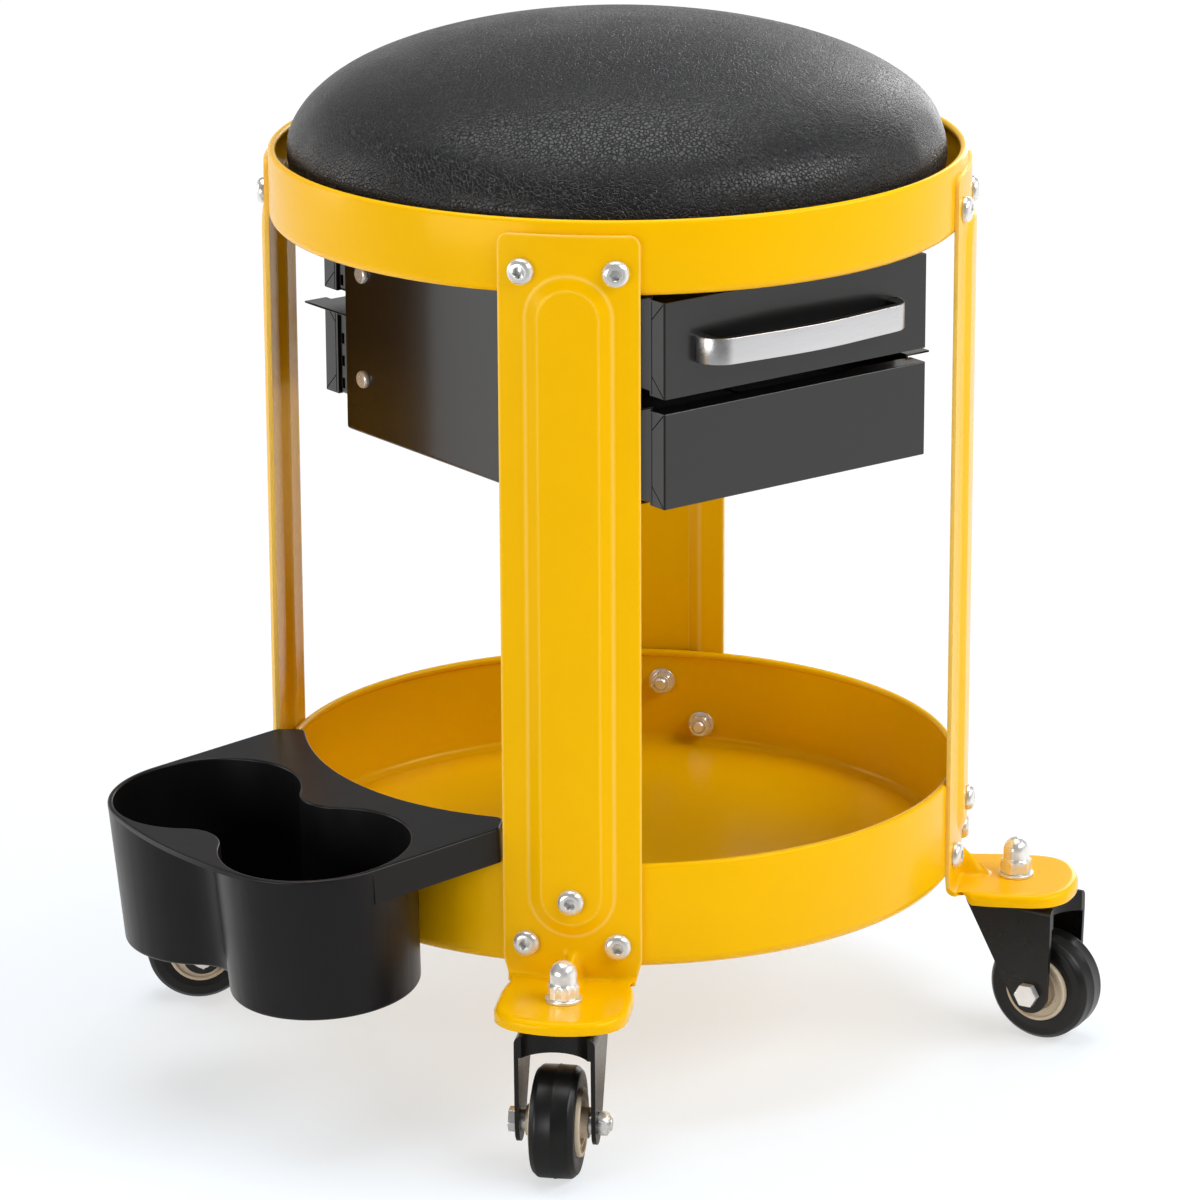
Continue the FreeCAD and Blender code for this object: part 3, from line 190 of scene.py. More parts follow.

# %% [markdown]
# Powder coat is a thick plastic skin baked on steel, with a faint orange peel a millimetre or
# two across. The yellow is nearly free of blue, and its shine is tinted by the pigment. A
# painted highlight, a paler yellow, lies along the legs' contours and edges: the legs carry a
# value on every point for how strong it is. The black sheet is glossier, so it is darkest where
# it mirrors something dark.

# %% Powder coats
def powder_coat(name, colour, roughness, coat, peel, specular, tint=(1.0, 1.0, 1.0)):
    material, shader, tree = principled(name, colour, roughness, coat=coat, specular=specular)
    shader.inputs["Specular Tint"].default_value = (*tint, 1.0)
    tone = mottled(tree, noise_texture(tree, 45 * MM, 3.0), colour, 0.985, 1.01)
    # Painted highlight: a paler yellow is mixed in where a leg's points carry a highlight value.
    painted_highlight = add_node(tree, "ShaderNodeAttribute", attribute_name="painted_edge_highlight").outputs["Fac"]
    tones = {"Factor": painted_highlight, 6: tone, 7: (0.98, 0.72, 0.22, 1.0)}
    highlighted_tone = add_node(tree, "ShaderNodeMix", tones, data_type="RGBA").outputs[2]
    wear = spread(tree, noise_texture(tree, 9 * MM, 4.0), roughness * 0.95, roughness * 1.05)
    feed(shader, highlighted_tone, wear, bump(tree, noise_texture(tree, 1.7 * MM, 1.0), peel, 0.3))
    return material


PEEL = 0.012 * MM
YELLOW = (0.87, 0.47, 0.0)
YELLOW_SHINE = (1.0, 0.72, 0.12)
yellow_coat = powder_coat("yellow_powder_coat", YELLOW, 0.26, 0.05, PEEL, 0.3, YELLOW_SHINE)
black_coat = powder_coat("black_powder_coat", (0.006, 0.006, 0.0065), 0.32, 0.55, PEEL, 0.35)
fork_coat = powder_coat("caster_black_coat", (0.006, 0.0052, 0.0048), 0.28, 0.1, PEEL, 0.28)
handle_coat = powder_coat("handle_black_coat", (0.006, 0.006, 0.0065), 0.3, 0.1, 0.01 * MM, 0.35)
seam_shadow = principled("seam_shadow", (0.0015, 0.0015, 0.0015), 0.8, specular=0.0)[0]
print("powder coats ready")

# %% [markdown]
# The seat is covered in grained vinyl. Its grain is a net of small pebbles, about two
# millimetres across, with wrinkles over them. Voronoi cells, pushed about by noise, give the
# pebbles, their edges give the creases, and a slow noise makes some patches smoother. The
# colour is painted darker in the creases, as painted shade.

# %% Grained vinyl
def grained_vinyl(name, colour):
    material, shader, tree = principled(name, colour, 0.36, specular=0.42)
    push = noise_texture(tree, 3.4 * MM).node.outputs["Color"]
    bent = vector_node(tree, "MULTIPLY_ADD", push, (1.6 * MM,) * 3, object_place(tree))["Vector"]
    cells = {"Vector": bent, "Scale": 1.0 / (1.8 * MM)}
    pebbles = add_node(tree, "ShaderNodeTexVoronoi", cells, feature="DISTANCE_TO_EDGE")
    edge = pebbles.outputs["Distance"]
    creases = spread(tree, edge, 0.0, 1.0, 0.0, 0.16, interpolation_type="SMOOTHSTEP")
    grain = bump(tree, creases, 0.4 * MM)
    grain = bump(tree, noise_texture(tree, 3.2 * MM, 3.0), 0.7 * MM, 0.35, grain)
    # Painted shade: the colour is darker in the creases than on the pebbles.
    tone = mottled(tree, creases, colour, 0.7, 1.1)
    tone.node.color_ramp.elements[0].position = 0.0
    tone.node.color_ramp.elements[1].position = 1.0
    feed(shader, tone, spread(tree, noise_texture(tree, 30 * MM, 3.0), 0.33, 0.4), grain)
    return material


vinyl = grained_vinyl("grained_black_vinyl", (0.006, 0.006, 0.0075))
print("vinyl ready")

# %% [markdown]
# Metals get their look from what they reflect, so their finish is mostly roughness. Chrome is
# nearly a mirror, zinc plate is softer with faint clouds, and the polished handle is brushed
# along its length, which stretches the noise that drives its roughness.

# %% Bare metals
def bare_metal(name, colour, roughness, cloud_size, metallic, stretch=None):
    material, shader, tree = principled(name, colour, roughness, metallic=metallic)
    clouds = noise_texture(tree, cloud_size, 4.0, stretch)
    tone = mottled(tree, clouds, colour, 0.96, 1.02)
    feed(shader, tone, spread(tree, clouds, roughness * 0.88, roughness * 1.15))
    return material


zinc = bare_metal("zinc_plate", (0.82, 0.82, 0.81), 0.24, 3.0 * MM, 0.65)
chrome = bare_metal("nickel_chrome", (0.86, 0.86, 0.85), 0.2, 5.0 * MM, 0.6)
polished = bare_metal("polished_strip", (0.66, 0.66, 0.67), 0.3, 1.2 * MM, 1.0, (0.06, 1.0, 1.0))
print("metals ready")

# %% [markdown]
# Moulded plastics and rubber are dark and broad in their shine. The cup holder has a fine
# spark-eroded texture, the tyre is smoother, and the hub is a cream plastic that yellows a
# little in patches. Foam and plywood hide inside the seat, but they get their own look too.

# %% Plastics, rubber and the seat's inside
def moulded(name, colour, roughness, grain_size, depth, specular=0.5):
    material, shader, tree = principled(name, colour, roughness, specular=specular)
    clouds = noise_texture(tree, 18 * MM, 3.0)
    tone = mottled(tree, clouds, colour, 0.92, 1.06)
    wear = spread(tree, clouds, roughness * 0.92, roughness * 1.08)
    feed(shader, tone, wear, bump(tree, noise_texture(tree, grain_size), depth, 0.5))
    return material


def plywood_finish():
    material, shader, tree = principled("seat_plywood", (0.5, 0.33, 0.17), 0.7)
    grain = noise_texture(tree, 6 * MM, 5.0, (0.08, 1.0, 9.0))
    tone = two_tone(tree, grain, (0.36, 0.21, 0.1), (0.56, 0.38, 0.2))
    feed(shader, tone, None, bump(tree, grain, 0.2 * MM, 0.4))
    return material


FINE = 0.015 * MM
cup_plastic = moulded("moulded_black", (0.0065, 0.006, 0.0065), 0.34, 0.5 * MM, FINE, 0.28)
tyre_rubber = moulded("tyre_rubber", (0.007, 0.007, 0.007), 0.34, 0.7 * MM, FINE, 0.28)
hub_cream = moulded("hub_cream", (0.6, 0.5, 0.37), 0.32, 1.5 * MM, 0.01 * MM)
seat_foam = moulded("seat_foam", (0.6, 0.5, 0.3), 0.9, 1.2 * MM, 0.3 * MM, 0.2)
plywood = plywood_finish()
print("plastics ready")

# %% [markdown]
# The record names a finish for each node. This table turns its slots into the materials above,
# and every node of the measured model takes the one that its slot names.

# %% Give each measured piece its finish
FINISHES = {
    "yellow_powder_coat": yellow_coat,
    "black_sheet": black_coat,
    "black_vinyl": vinyl,
    "seat_foam": seat_foam,
    "plywood": plywood,
    "zinc_steel": zinc,
    "chrome_nut": chrome,
    "polished_handle": polished,
    "handle_black": handle_coat,
    "moulded_black": cup_plastic,
    "caster_black": fork_coat,
    "tyre_black": tyre_rubber,
    "hub_cream": hub_cream,
}
record = frame["record"]
slot_of = {entry["node"]: entry["material_slot"] for entry in record["subparts"]}
body_of = {node: body for body, nodes in record["behaviour"]["bodies"].items() for node in nodes}
for node_name, node_object in frame["nodes"].items():
    node_object.data.materials.clear()
    node_object.data.materials.append(FINISHES[slot_of[node_name]])
print("finishes given to", len(slot_of), "nodes")

# %% [markdown]
# The floor is a plain pale sheet, and isn't part of the stool. The photograph's background is
# burnt out to white with a faint shadow left, so what the camera sees of the floor is partly
# its own light, more so further away. Glossy surfaces see the same white to the sides and
# behind, but the camera's own side of a studio is dark, which leaves the paint deep in colour
# at the front, with a thin bright line wherever an edge turns away. The paper's cool tint takes
# out the colour that the yellow paint throws on it.

# %% Floor
FRONT_WAY = (-0.766, -0.643, 0.0)
FRONT_SHARE = 0.25
PAPER = (0.9, 0.9, 0.9)
COOL_PAPER = (0.78, 0.89, 1.0)
WHITE = (1.0, 1.0, 1.0, 1.0)
FLOOR_GLOW = 1.05
GLOW_NEAR = 0.6
GLOW_FAR = 0.97


def ray_is(tree, kind):
    return add_node(tree, "ShaderNodeLightPath").outputs[f"Is {kind} Ray"]


def seen_directly(tree):
    """1 for rays from the camera, mirrors and clear things, else 0."""
    mirrored = math_node(tree, "MAXIMUM", ray_is(tree, "Camera"), ray_is(tree, "Glossy"))
    return math_node(tree, "MAXIMUM", mirrored, ray_is(tree, "Transmission"))


def dim_front(tree, way):
    """1, but falling to FRONT_SHARE for rays that leave the stool towards the camera's side."""
    facing = vector_node(tree, "DOT_PRODUCT", way, FRONT_WAY)["Value"]
    indirect = math_node(tree, "SUBTRACT", 1.0, ray_is(tree, "Camera"))
    return spread(tree, math_node(tree, "MULTIPLY", facing, indirect), 1.0, FRONT_SHARE)


def floor_finish():
    material = bpy.data.materials.new("pale_floor")
    material.use_nodes = True
    tree = material.node_tree
    tree.nodes.clear()
    colour = two_tone(tree, ray_is(tree, "Camera"), PAPER, COOL_PAPER, 0.0, 1.0)
    paper = add_node(tree, "ShaderNodeBsdfDiffuse", {"Color": colour})
    place = object_place(tree)
    way = vector_node(tree, "NORMALIZE", place)["Vector"]
    level = math_node(tree, "MULTIPLY", FLOOR_GLOW, dim_front(tree, way))
    glow = add_node(tree, "ShaderNodeEmission", {"Color": WHITE, "Strength": level})
    distance = vector_node(tree, "LENGTH", place)["Value"]
    share = spread(tree, distance, GLOW_NEAR, GLOW_FAR, 0.3, 1.1)
    share = math_node(tree, "MULTIPLY", seen_directly(tree), share)
    parts = {"Fac": share, 1: paper.outputs[0], 2: glow.outputs[0]}
    mix = add_node(tree, "ShaderNodeMixShader", parts)
    add_node(tree, "ShaderNodeOutputMaterial", {"Surface": mix.outputs[0]})
    return material


FLOOR_HALF = 9.0
corner_signs = ((-1, -1), (1, -1), (1, 1), (-1, 1))
floor_corners = [(x * FLOOR_HALF, y * FLOOR_HALF, 0.0) for x, y in corner_signs]
floor_mesh = mesh_from("floor", floor_corners, [(0, 1, 2, 3)])
floor_mesh.materials.append(floor_finish())
floor = link_object("floor", floor_mesh)
floor.location.z = -0.2 * MM
print("floor laid")

# %% [markdown]
# Light comes from a white room. A low soft lamp stands to the left, a wide strip hangs in
# front, a large lamp overhead, and two tall ones behind the stool draw a bright edge on round
# things. Mirrors and gloss see the room white up to the horizon and dim overhead, which keeps
# the black vinyl black.

# %% Room and lamps
ROOM_STRENGTH = 0.34
OVERHEAD_SHARE = 0.22
SEAT_MIDDLE = Vector((axis_x, axis_y, 0.25))


def white_room():
    world = bpy.data.worlds.new("white_room")
    world.use_nodes = True
    tree = world.node_tree
    level = spread(tree, seen_directly(tree), ROOM_STRENGTH, 1.0, 0.0, 1.0)
    way = add_node(tree, "ShaderNodeTexCoord").outputs["Generated"]
    height = add_node(tree, "ShaderNodeSeparateXYZ", {0: way}).outputs["Z"]
    overhead = spread(tree, height, 0.0, 1.0, 0.0, 0.4)
    glossy_overhead = math_node(tree, "MULTIPLY", overhead, ray_is(tree, "Glossy"))
    dimming = spread(tree, glossy_overhead, 1.0, OVERHEAD_SHARE, 0.0, 1.0)
    level = math_node(tree, "MULTIPLY", level, dimming)
    level = math_node(tree, "MULTIPLY", level, dim_front(tree, way))
    background = tree.nodes["Background"]
    background.inputs["Color"].default_value = WHITE
    tree.links.new(level, background.inputs["Strength"])
    return world


scene.world = white_room()
for name, place, width, height, power in (
    ("left_lamp", (-2.1, -0.3, 0.4), 1.3, 0.7, 16.0),
    ("front_strip", (0.95, -1.75, 1.7), 2.6, 0.8, 46.0),
    ("top_lamp", (0.1, 0.2, 2.4), 1.8, 1.8, 38.0),
    ("rear_left_lamp", (-1.5, 1.9, 0.8), 0.6, 1.5, 9.0),
    ("rear_right_lamp", (1.9, 1.1, 0.8), 0.6, 1.5, 9.0),
):
    light = bpy.data.lights.new(name, "AREA")
    light.shape = "RECTANGLE"
    light.size = width
    light.size_y = height
    light.energy = power
    lamp = link_object(name, light)
    lamp.location = place
    lamp.rotation_euler = (SEAT_MIDDLE - Vector(place)).to_track_quat("-Z", "Y").to_euler()
    lamp.visible_camera = False

# %% [markdown]
# Most round pieces of the stool are one outline, spun round an axis. This helper rounds the
# corners of an outline. Each point is a radius and a height in millimetres, with an optional
# rounding, and a fourth number of 1 makes that ring six-sided, as on nuts and sockets.

# %% Outlines with rounded corners
def rounded_outline(corners, steps=6, closed=False):
    """Points of an outline whose corners (radius, height, rounding, sides) are rounded off."""
    points = []
    count = len(corners)
    for index, corner in enumerate(corners):
        here = Vector(corner[:2])
        rounding, sides = (*corner[2:], 0.0, 0.0)[:2]
        if not rounding or not (closed or 0 < index < count - 1):
            points.append((here.x, here.y, sides))
            continue
        back = (Vector(corners[index - 1][:2]) - here).normalized()
        onward = (Vector(corners[(index + 1) % count][:2]) - here).normalized()
        half = back.angle(onward) / 2
        start = here + back * (rounding / math.tan(half))
        centre = here + (back + onward).normalized() * (rounding / math.sin(half))
        first = start - centre
        sweep = (here + onward * (rounding / math.tan(half)) - centre).angle_signed(first)
        for step in range(steps + 1):
            arm = first.copy()
            arm.rotate(Matrix.Rotation(sweep * step / steps, 2))
            point = centre + arm
            points.append((point.x, point.y, sides))
    if closed:
        points.append(points[0])
    return points


def quarter(middle, base, radius, rise, angles):
    """Points of a quarter ellipse at the given angles, for an outline."""
    turns = [math.radians(angle) for angle in angles]
    return [(middle + radius * math.cos(turn), base + rise * math.sin(turn), 0.0) for turn in turns]


print("rounded corner has", len(rounded_outline([(0, 0), (5, 0, 1), (5, 5)])), "points")

# %% [markdown]
# The spinning is a rule, so Geometry Nodes do it. The tree makes a grid with a column for every
# step round and a row for every outline point, turns each point round the axis at its row's
# radius and height, and merges the seam and the poles shut. A ring whose "sides" value is 1 is
# stretched to a hexagon, with the radius as half its width across flats.

# %% Tree: a turned piece
def new_tree(name, inputs):
    """Geometry tree, its named inputs, and each input's identifier."""
    tree = bpy.data.node_groups.new(name, "GeometryNodeTree")
    tree.interface.new_socket("Geometry", in_out="OUTPUT", socket_type="NodeSocketGeometry")
    identifiers = {}
    for label, kind in inputs.items():
        socket = tree.interface.new_socket(label, in_out="INPUT", socket_type="NodeSocket" + kind)
        identifiers[label] = socket.identifier
    return tree, add_node(tree, "NodeGroupInput").outputs, identifiers


def close_tree(tree, given, geometry):
    """The last nodes of a tree: instances made real, the given finish, and the way out."""
    real = add_node(tree, "GeometryNodeRealizeInstances", {"Geometry": geometry})
    dressed = {"Geometry": real.outputs["Geometry"], "Material": given["Finish"]}
    finish = add_node(tree, "GeometryNodeSetMaterial", dressed)
    add_node(tree, "NodeGroupOutput", {"Geometry": finish.outputs["Geometry"]})


def from_object(tree, thing):
    return add_node(tree, "GeometryNodeObjectInfo", {"Object": thing}).outputs["Geometry"]


def named_value(tree, label, kind):
    field = add_node(tree, "GeometryNodeInputNamedAttribute", {"Name": label}, data_type=kind)
    return field.outputs["Attribute"]


def turned_tree():
    inputs = {"Outline": "Object", "Steps round": "Int", "Finish": "Material"}
    tree, given, identifiers = new_tree("turned_piece", inputs)

    def calc(operation, *values):
        return math_node(tree, operation, *values)

    def at_row(label, kind):
        wanted = {"Geometry": outline, "Value": named_value(tree, label, kind), "Index": row}
        return add_node(tree, "GeometryNodeSampleIndex", wanted, data_type=kind).outputs["Value"]

    outline = from_object(tree, given["Outline"])
    counted = {"Geometry": outline}
    size = add_node(tree, "GeometryNodeAttributeDomainSize", counted, component="MESH")
    rows = size.outputs["Point Count"]
    columns = calc("ADD", given["Steps round"], 1)
    cells = {"Size X": 1.0, "Size Y": 1.0, "Vertices X": columns, "Vertices Y": rows}
    grid = add_node(tree, "GeometryNodeMeshGrid", cells).outputs["Mesh"]
    position = add_node(tree, "GeometryNodeInputPosition").outputs[0]
    place = add_node(tree, "ShaderNodeSeparateXYZ", {0: position}).outputs
    angle = calc("MULTIPLY", calc("ADD", place["X"], 0.5), math.tau)
    row_place = calc("MULTIPLY", calc("ADD", place["Y"], 0.5), calc("SUBTRACT", rows, 1))
    row = calc("ROUND", row_place)
    point = add_node(tree, "ShaderNodeSeparateXYZ", {0: at_row("position", "FLOAT_VECTOR")}).outputs
    reach = calc("DIVIDE", 1.0, calc("COSINE", calc("PINGPONG", angle, math.pi / 6)))
    widened = calc("MULTIPLY", calc("SUBTRACT", reach, 1.0), at_row("sides", "FLOAT"))
    radius = calc("MULTIPLY", point["X"], calc("ADD", widened, 1.0))
    across = calc("MULTIPLY", radius, calc("COSINE", angle))
    deep = calc("MULTIPLY", radius, calc("SINE", angle))
    spun = add_node(tree, "ShaderNodeCombineXYZ", {"X": across, "Y": deep, "Z": point["Z"]})
    spinning = {"Geometry": grid, "Position": spun.outputs[0]}
    moved = add_node(tree, "GeometryNodeSetPosition", spinning).outputs["Geometry"]
    welding = {"Geometry": moved, "Distance": 0.002 * MM}
    weld = add_node(tree, "GeometryNodeMergeByDistance", welding)
    close_tree(tree, given, weld.outputs["Geometry"])
    return tree, identifiers


TURNED, TURNED_INPUTS = turned_tree()
print("tree", TURNED.name, "has", len(TURNED.nodes), "nodes")

# %% [markdown]
# A tree runs as a modifier on an empty object, with its inputs set by their identifiers, and
# the result is read back as a plain mesh, like that of any other modifier. Then the faces are
# made to point outwards, and edges sharper than a chosen angle are kept crisp.

# %% Run modifiers and keep the mesh
def read_back(carrier):
    """The carrier's mesh with its modifiers applied. The carrier itself goes."""
    graph = bpy.context.evaluated_depsgraph_get()
    mesh = bpy.data.meshes.new_from_object(carrier.evaluated_get(graph))
    carrier.modifiers.clear()
    bpy.data.objects.remove(carrier)
    return mesh


def run_tree(tree, identifiers, values):
    carrier = link_object("carrier", bpy.data.meshes.new("carrier"))
    modifier = carrier.modifiers.new("tree", "NODES")
    modifier.node_group = tree
    for label, value in values.items():
        modifier[identifiers[label]] = value
    return read_back(carrier)


def apply_modifiers(mesh, **modifiers):
    """Mesh after the named modifiers, each given as its type and its settings."""
    carrier = link_object("carrier", mesh)
    for name, (kind, settings) in modifiers.items():
        modifier = carrier.modifiers.new(name, kind)
        for key, value in settings.items():
            setattr(modifier, key, value)
    return read_back(carrier)


def bevel(width, segments, degrees, **settings):
    angle = math.radians(degrees)
    return "BEVEL", {"width": width * MM, "segments": segments, "angle_limit": angle, **settings}


def shade_crisp(mesh, sharp_degrees):
    mesh.shade_smooth()
    mesh.set_sharp_from_angle(angle=math.radians(sharp_degrees))


def tidy_faces(mesh, sharp_degrees=35.0, weld=0.0):
    work = bmesh.new()
    work.from_mesh(mesh)
    if weld:
        bmesh.ops.remove_doubles(work, verts=work.verts, dist=weld)
    bmesh.ops.recalc_face_normals(work, faces=work.faces)
    work.to_mesh(mesh)
    work.free()
    shade_crisp(mesh, sharp_degrees)
    return mesh


def turned_mesh(points, material, steps=96, sharp_degrees=35.0):
    """Spins outline points (radius, height, sides) in millimetres."""
    outline = mesh_from("outline", [(x * MM, 0.0, z * MM) for x, z, _ in points])
    sides = outline.attributes.new("sides", "FLOAT", "POINT")
    sides.data.foreach_set("value", [point[2] for point in points])
    holder = link_object("outline", outline)
    values = {"Outline": holder, "Steps round": steps, "Finish": material}
    mesh = run_tree(TURNED, TURNED_INPUTS, values)
    bpy.data.objects.remove(holder)
    return tidy_faces(mesh, sharp_degrees)


def new_piece(name, mesh, node, *others, place=None, slot=None, replaces=True):
    """Puts a finished mesh on a node's body, in the stead of that node and any others."""
    slot = slot or slot_of[node]
    mesh.name = name
    if place is not None:
        mesh.transform(place)
    if not mesh.materials:
        mesh.materials.append(FINISHES[slot])
    piece = link_object(name, mesh)
    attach(piece, body_of[node])
    if replaces:
        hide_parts(node, *others)
    return piece


print("helpers ready")

# %% [markdown]
# The seat pan and the tool tray are the same pressing in two depths: a floor, a rounded corner,
# an upright wall, and a rim rolled inwards into a thick bead that catches a bright line of
# light. Their heights come from the measured boxes.

# %% Seat pan and tool tray
SHELL_RADIUS = 159.0
SHELL_SHEET = 1.5
SHELL_INNER = SHELL_RADIUS - SHELL_SHEET
RIM_BEAD = 1.8
BEAD_LIP = 2.2


def rolled_shell(bottom, top, corner):
    """Outline of a round pressing, from its middle out, up, over the bead and back inside."""
    bead = top - RIM_BEAD
    floor = bottom + SHELL_SHEET
    outside = [(0, bottom), (SHELL_RADIUS, bottom, corner), (SHELL_RADIUS, bead)]
    rim = quarter(SHELL_RADIUS - RIM_BEAD, bead, RIM_BEAD, RIM_BEAD, range(20, 241, 20))
    inner_corner = (SHELL_INNER, floor, corner - SHELL_SHEET)
    inside = [(SHELL_INNER, bead - BEAD_LIP), inner_corner, (0, floor)]
    return rounded_outline(outside, 8) + rim + rounded_outline(inside, 8)


for shell, corner in (("seat_pan", 5.0), ("tool_tray", 6.0)):
    low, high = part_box(shell)
    shell_mesh = turned_mesh(rolled_shell(low.z / MM, high.z / MM, corner), yellow_coat, 256)
    new_piece(shell + "_shell", shell_mesh, shell, place=SEAT_AXIS)
    print(shell, "faces", len(shell_mesh.polygons))

# %% [markdown]
# Each leg is one strip of steel: an upright wall curved round the pan, a bend, and a foot with
# a rounded front and a turned-down edge. A panel is pressed outwards along the wall, and a
# small dart stiffens the bend. The leg is drawn as one grid of points, row by row down the wall
# and out along the foot, and thickened afterwards. This cell holds the sizes, in millimetres,
# and the foot's front edge.

# %% Leg sizes and the foot's front edge
LEG_RADIUS = 161.0
LEG_SHEET = 2.0
LEG_HALF = 31.1
LEG_CORNER = 5.0
BEND_RADIUS = 2.2
FOOT_START = LEG_RADIUS + BEND_RADIUS
FOOT_HALF = 29.8
FOOT_REACH = 218.5
FOOT_EDGE = 3.0
NECK_INSET = 2.4
DART_REACH = 14.0
DART_HALF = 5.5
CORNERS = {"front_left": -135.0, "front_right": -45.0, "rear_left": 135.0, "rear_right": 45.0}
leg_low, leg_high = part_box("front_left_leg")
leg_top = leg_high.z / MM
lip_bottom = leg_low.z / MM
foot_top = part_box("cap_nut_washers")[0].z / MM
foot_front = [(168.0, -FOOT_HALF), (209.0, -FOOT_HALF, 19.0), (FOOT_REACH, 0.0, 48.0)]
foot_front += [(209.0, FOOT_HALF, 19.0), (168.0, FOOT_HALF)]


def smooth(value, low, high):
    share = min(max((value - low) / (high - low), 0.0), 1.0)
    return share * share * (3.0 - 2.0 * share)


def front_edge():
    """Foot's front line, drawn in by the edge's rounding, as a list of (side, reach)."""
    outline = [Vector(point[:2]) for point in rounded_outline(foot_front, 12)]
    drawn_in = []
    for before, point, after in zip(outline, outline[1:], outline[2:]):
        along = (after - before).normalized()
        inner = point + Vector((-along.y, along.x)) * FOOT_EDGE
        drawn_in.append((inner.y, inner.x))
    return drawn_in


FRONT = front_edge()


def foot_reach(side):
    for (y_low, x_low), (y_high, x_high) in zip(FRONT, FRONT[1:]):
        if y_low <= side <= y_high:
            share = (side - y_low) / max(y_high - y_low, 0.001)
            return x_low + (x_high - x_low) * share
    return FRONT[0][1]


print("foot reaches", round(foot_reach(0.0), 2), "and", round(foot_reach(28.0), 2))

# %% [markdown]
# The pressed panel is a height over the wall: full inside a long shape with round ends, nothing
# outside it, and an even slope between. Only the slope's two edges are eased, which gives the
# two thin contours that catch the light. A painted highlight, a paler yellow, lies on them and
# along the sheet's edge.

# %% Height of the pressed panel
PANEL_HEIGHT = 2.5
PANEL_OUTER = 19.5
PANEL_INNER = 13.2
PANEL_EASE = 0.1
panel_low = foot_top + 20.0
panel_high = leg_top - 17.6


def eased_ramp(share):
    """Straight ramp from 0 to 1 with a short curve at each end."""
    if share > 0.5:
        return 1.0 - eased_ramp(1.0 - share)
    if share < -PANEL_EASE:
        return 0.0
    return (share + PANEL_EASE) ** 2 / (4.0 * PANEL_EASE) if share < PANEL_EASE else share


def from_panel_line(side, height):
    """Distance from the line down the panel's middle, between its two round ends."""
    below = min(height - (panel_low + PANEL_OUTER), 0.0)
    return math.hypot(side, below + max(height - (panel_high - PANEL_OUTER), 0.0))


def panel_rise(side, height):
    slope = PANEL_OUTER - PANEL_INNER
    return PANEL_HEIGHT * eased_ramp((PANEL_OUTER - from_panel_line(side, height)) / slope)


def painted_edge_highlight(side, height, half):
    """How strong the painted highlight is at a point of the wall, from 0 to 1."""
    distance = from_panel_line(side, height)
    lines = (
        (0.34, abs(distance - PANEL_OUTER + 0.4) / 1.2),
        (0.2, abs(distance - PANEL_INNER) / 0.7),
        (0.5, half - abs(side)),
        (0.5, leg_top - height),
    )
    return max(strength * (1.0 - min(away, 1.0)) for strength, away in lines)


print("panel", round(panel_rise(0.0, 250.0), 2), "high in the middle")

# %% [markdown]
# The rows of the grid: dense over the rounded top corners, over the panel's ends and round
# the bend, and wider apart on the plain stretch. The columns crowd together along the panel's
# two long sides. Each row is turned into points by the part of the leg that it lies in.

# %% One leg as a sheet of points
def spaced(first, last, count):
    return [first + (last - first) * step / count for step in range(1, count + 1)]


def leg_rows():
    """Rows as the part of the leg and a height, an angle or a share of the foot."""
    corner_angles = [math.radians(angle) for angle in range(0, 90, 12)]
    rows = [("wall", leg_top - LEG_CORNER * (1 - math.cos(angle))) for angle in corner_angles]
    height = leg_top - LEG_CORNER
    for end, count in (
        (panel_high + 1.5, 8),
        (panel_high - 22, 48),
        (panel_low + 22, 40),
        (panel_low - 1.5, 48),
        (foot_top + BEND_RADIUS, 16),
    ):
        rows += [("wall", place) for place in spaced(height, end, count)]
        height = end
    rows += [("bend", angle) for angle in spaced(0.0, 90.0, 8)]
    return rows + [("foot", share) for share in spaced(0.0, 1.0, 48)]


def column_places():
    """Shares of the half width, from -1 to 1, three times as dense over the panel's slope."""
    slope_from = (PANEL_INNER - 1.4) / LEG_HALF
    slope_to = (PANEL_OUTER + 1.4) / LEG_HALF
    positions = [0.0]
    while positions[-1] < 1.0:
        here = positions[-1]
        positions.append(here + (0.012 if slope_from <= here < slope_to else 0.036))
    half = [place / positions[-1] for place in positions]
    return [-place for place in reversed(half[1:])] + half


COLUMN_PLACES = column_places()
COLUMNS = len(COLUMN_PLACES) - 1


def half_width(along):
    """Half the sheet's width, drawn in to a neck at the bend, by the way along from the bend."""
    widening = NECK_INSET - (LEG_HALF - FOOT_HALF)
    return LEG_HALF - NECK_INSET * smooth(along, -10.0, 2.0) + widening * smooth(along, 5.0, 30.0)


def edge_share(reach):
    """How far the turned-down edge is formed, from none at the bend to full along the foot."""
    return smooth(reach, LEG_RADIUS + 1.5, LEG_RADIUS + 8.0)


def round_axis(radius, side):
    return math.sqrt(radius * radius - side * side)


def leg_point(kind, value, column):
    """A point of the sheet and its distance along the leg from the bend."""
    if kind == "wall":
        down = max(value - (leg_top - LEG_CORNER), 0.0)
        corner = LEG_CORNER - math.sqrt(LEG_CORNER ** 2 - down ** 2)
        side = column * (half_width(foot_top - value) - corner)
        scale = (LEG_RADIUS + panel_rise(side, value)) / LEG_RADIUS
        place = Vector((round_axis(LEG_RADIUS, side) * scale, side * scale, value))
        return place, foot_top - value
    if kind == "bend":
        angle = math.radians(value)
        radius = FOOT_START - BEND_RADIUS * math.cos(angle)
        along = BEND_RADIUS * (value / 45.0 - 1.0)
        side = column * half_width(along)
        height = foot_top + BEND_RADIUS * (1.0 - math.sin(angle))
        return Vector((round_axis(radius, side), side, height)), along
    nominal = FOOT_START + value * (FOOT_REACH - FOOT_START)
    side = column * (half_width(nominal - LEG_RADIUS) - FOOT_EDGE * edge_share(nominal))
    start = round_axis(FOOT_START, side)
    reach = start + value * (foot_reach(side) - start)
    return Vector((reach, side, foot_top)), reach - LEG_RADIUS


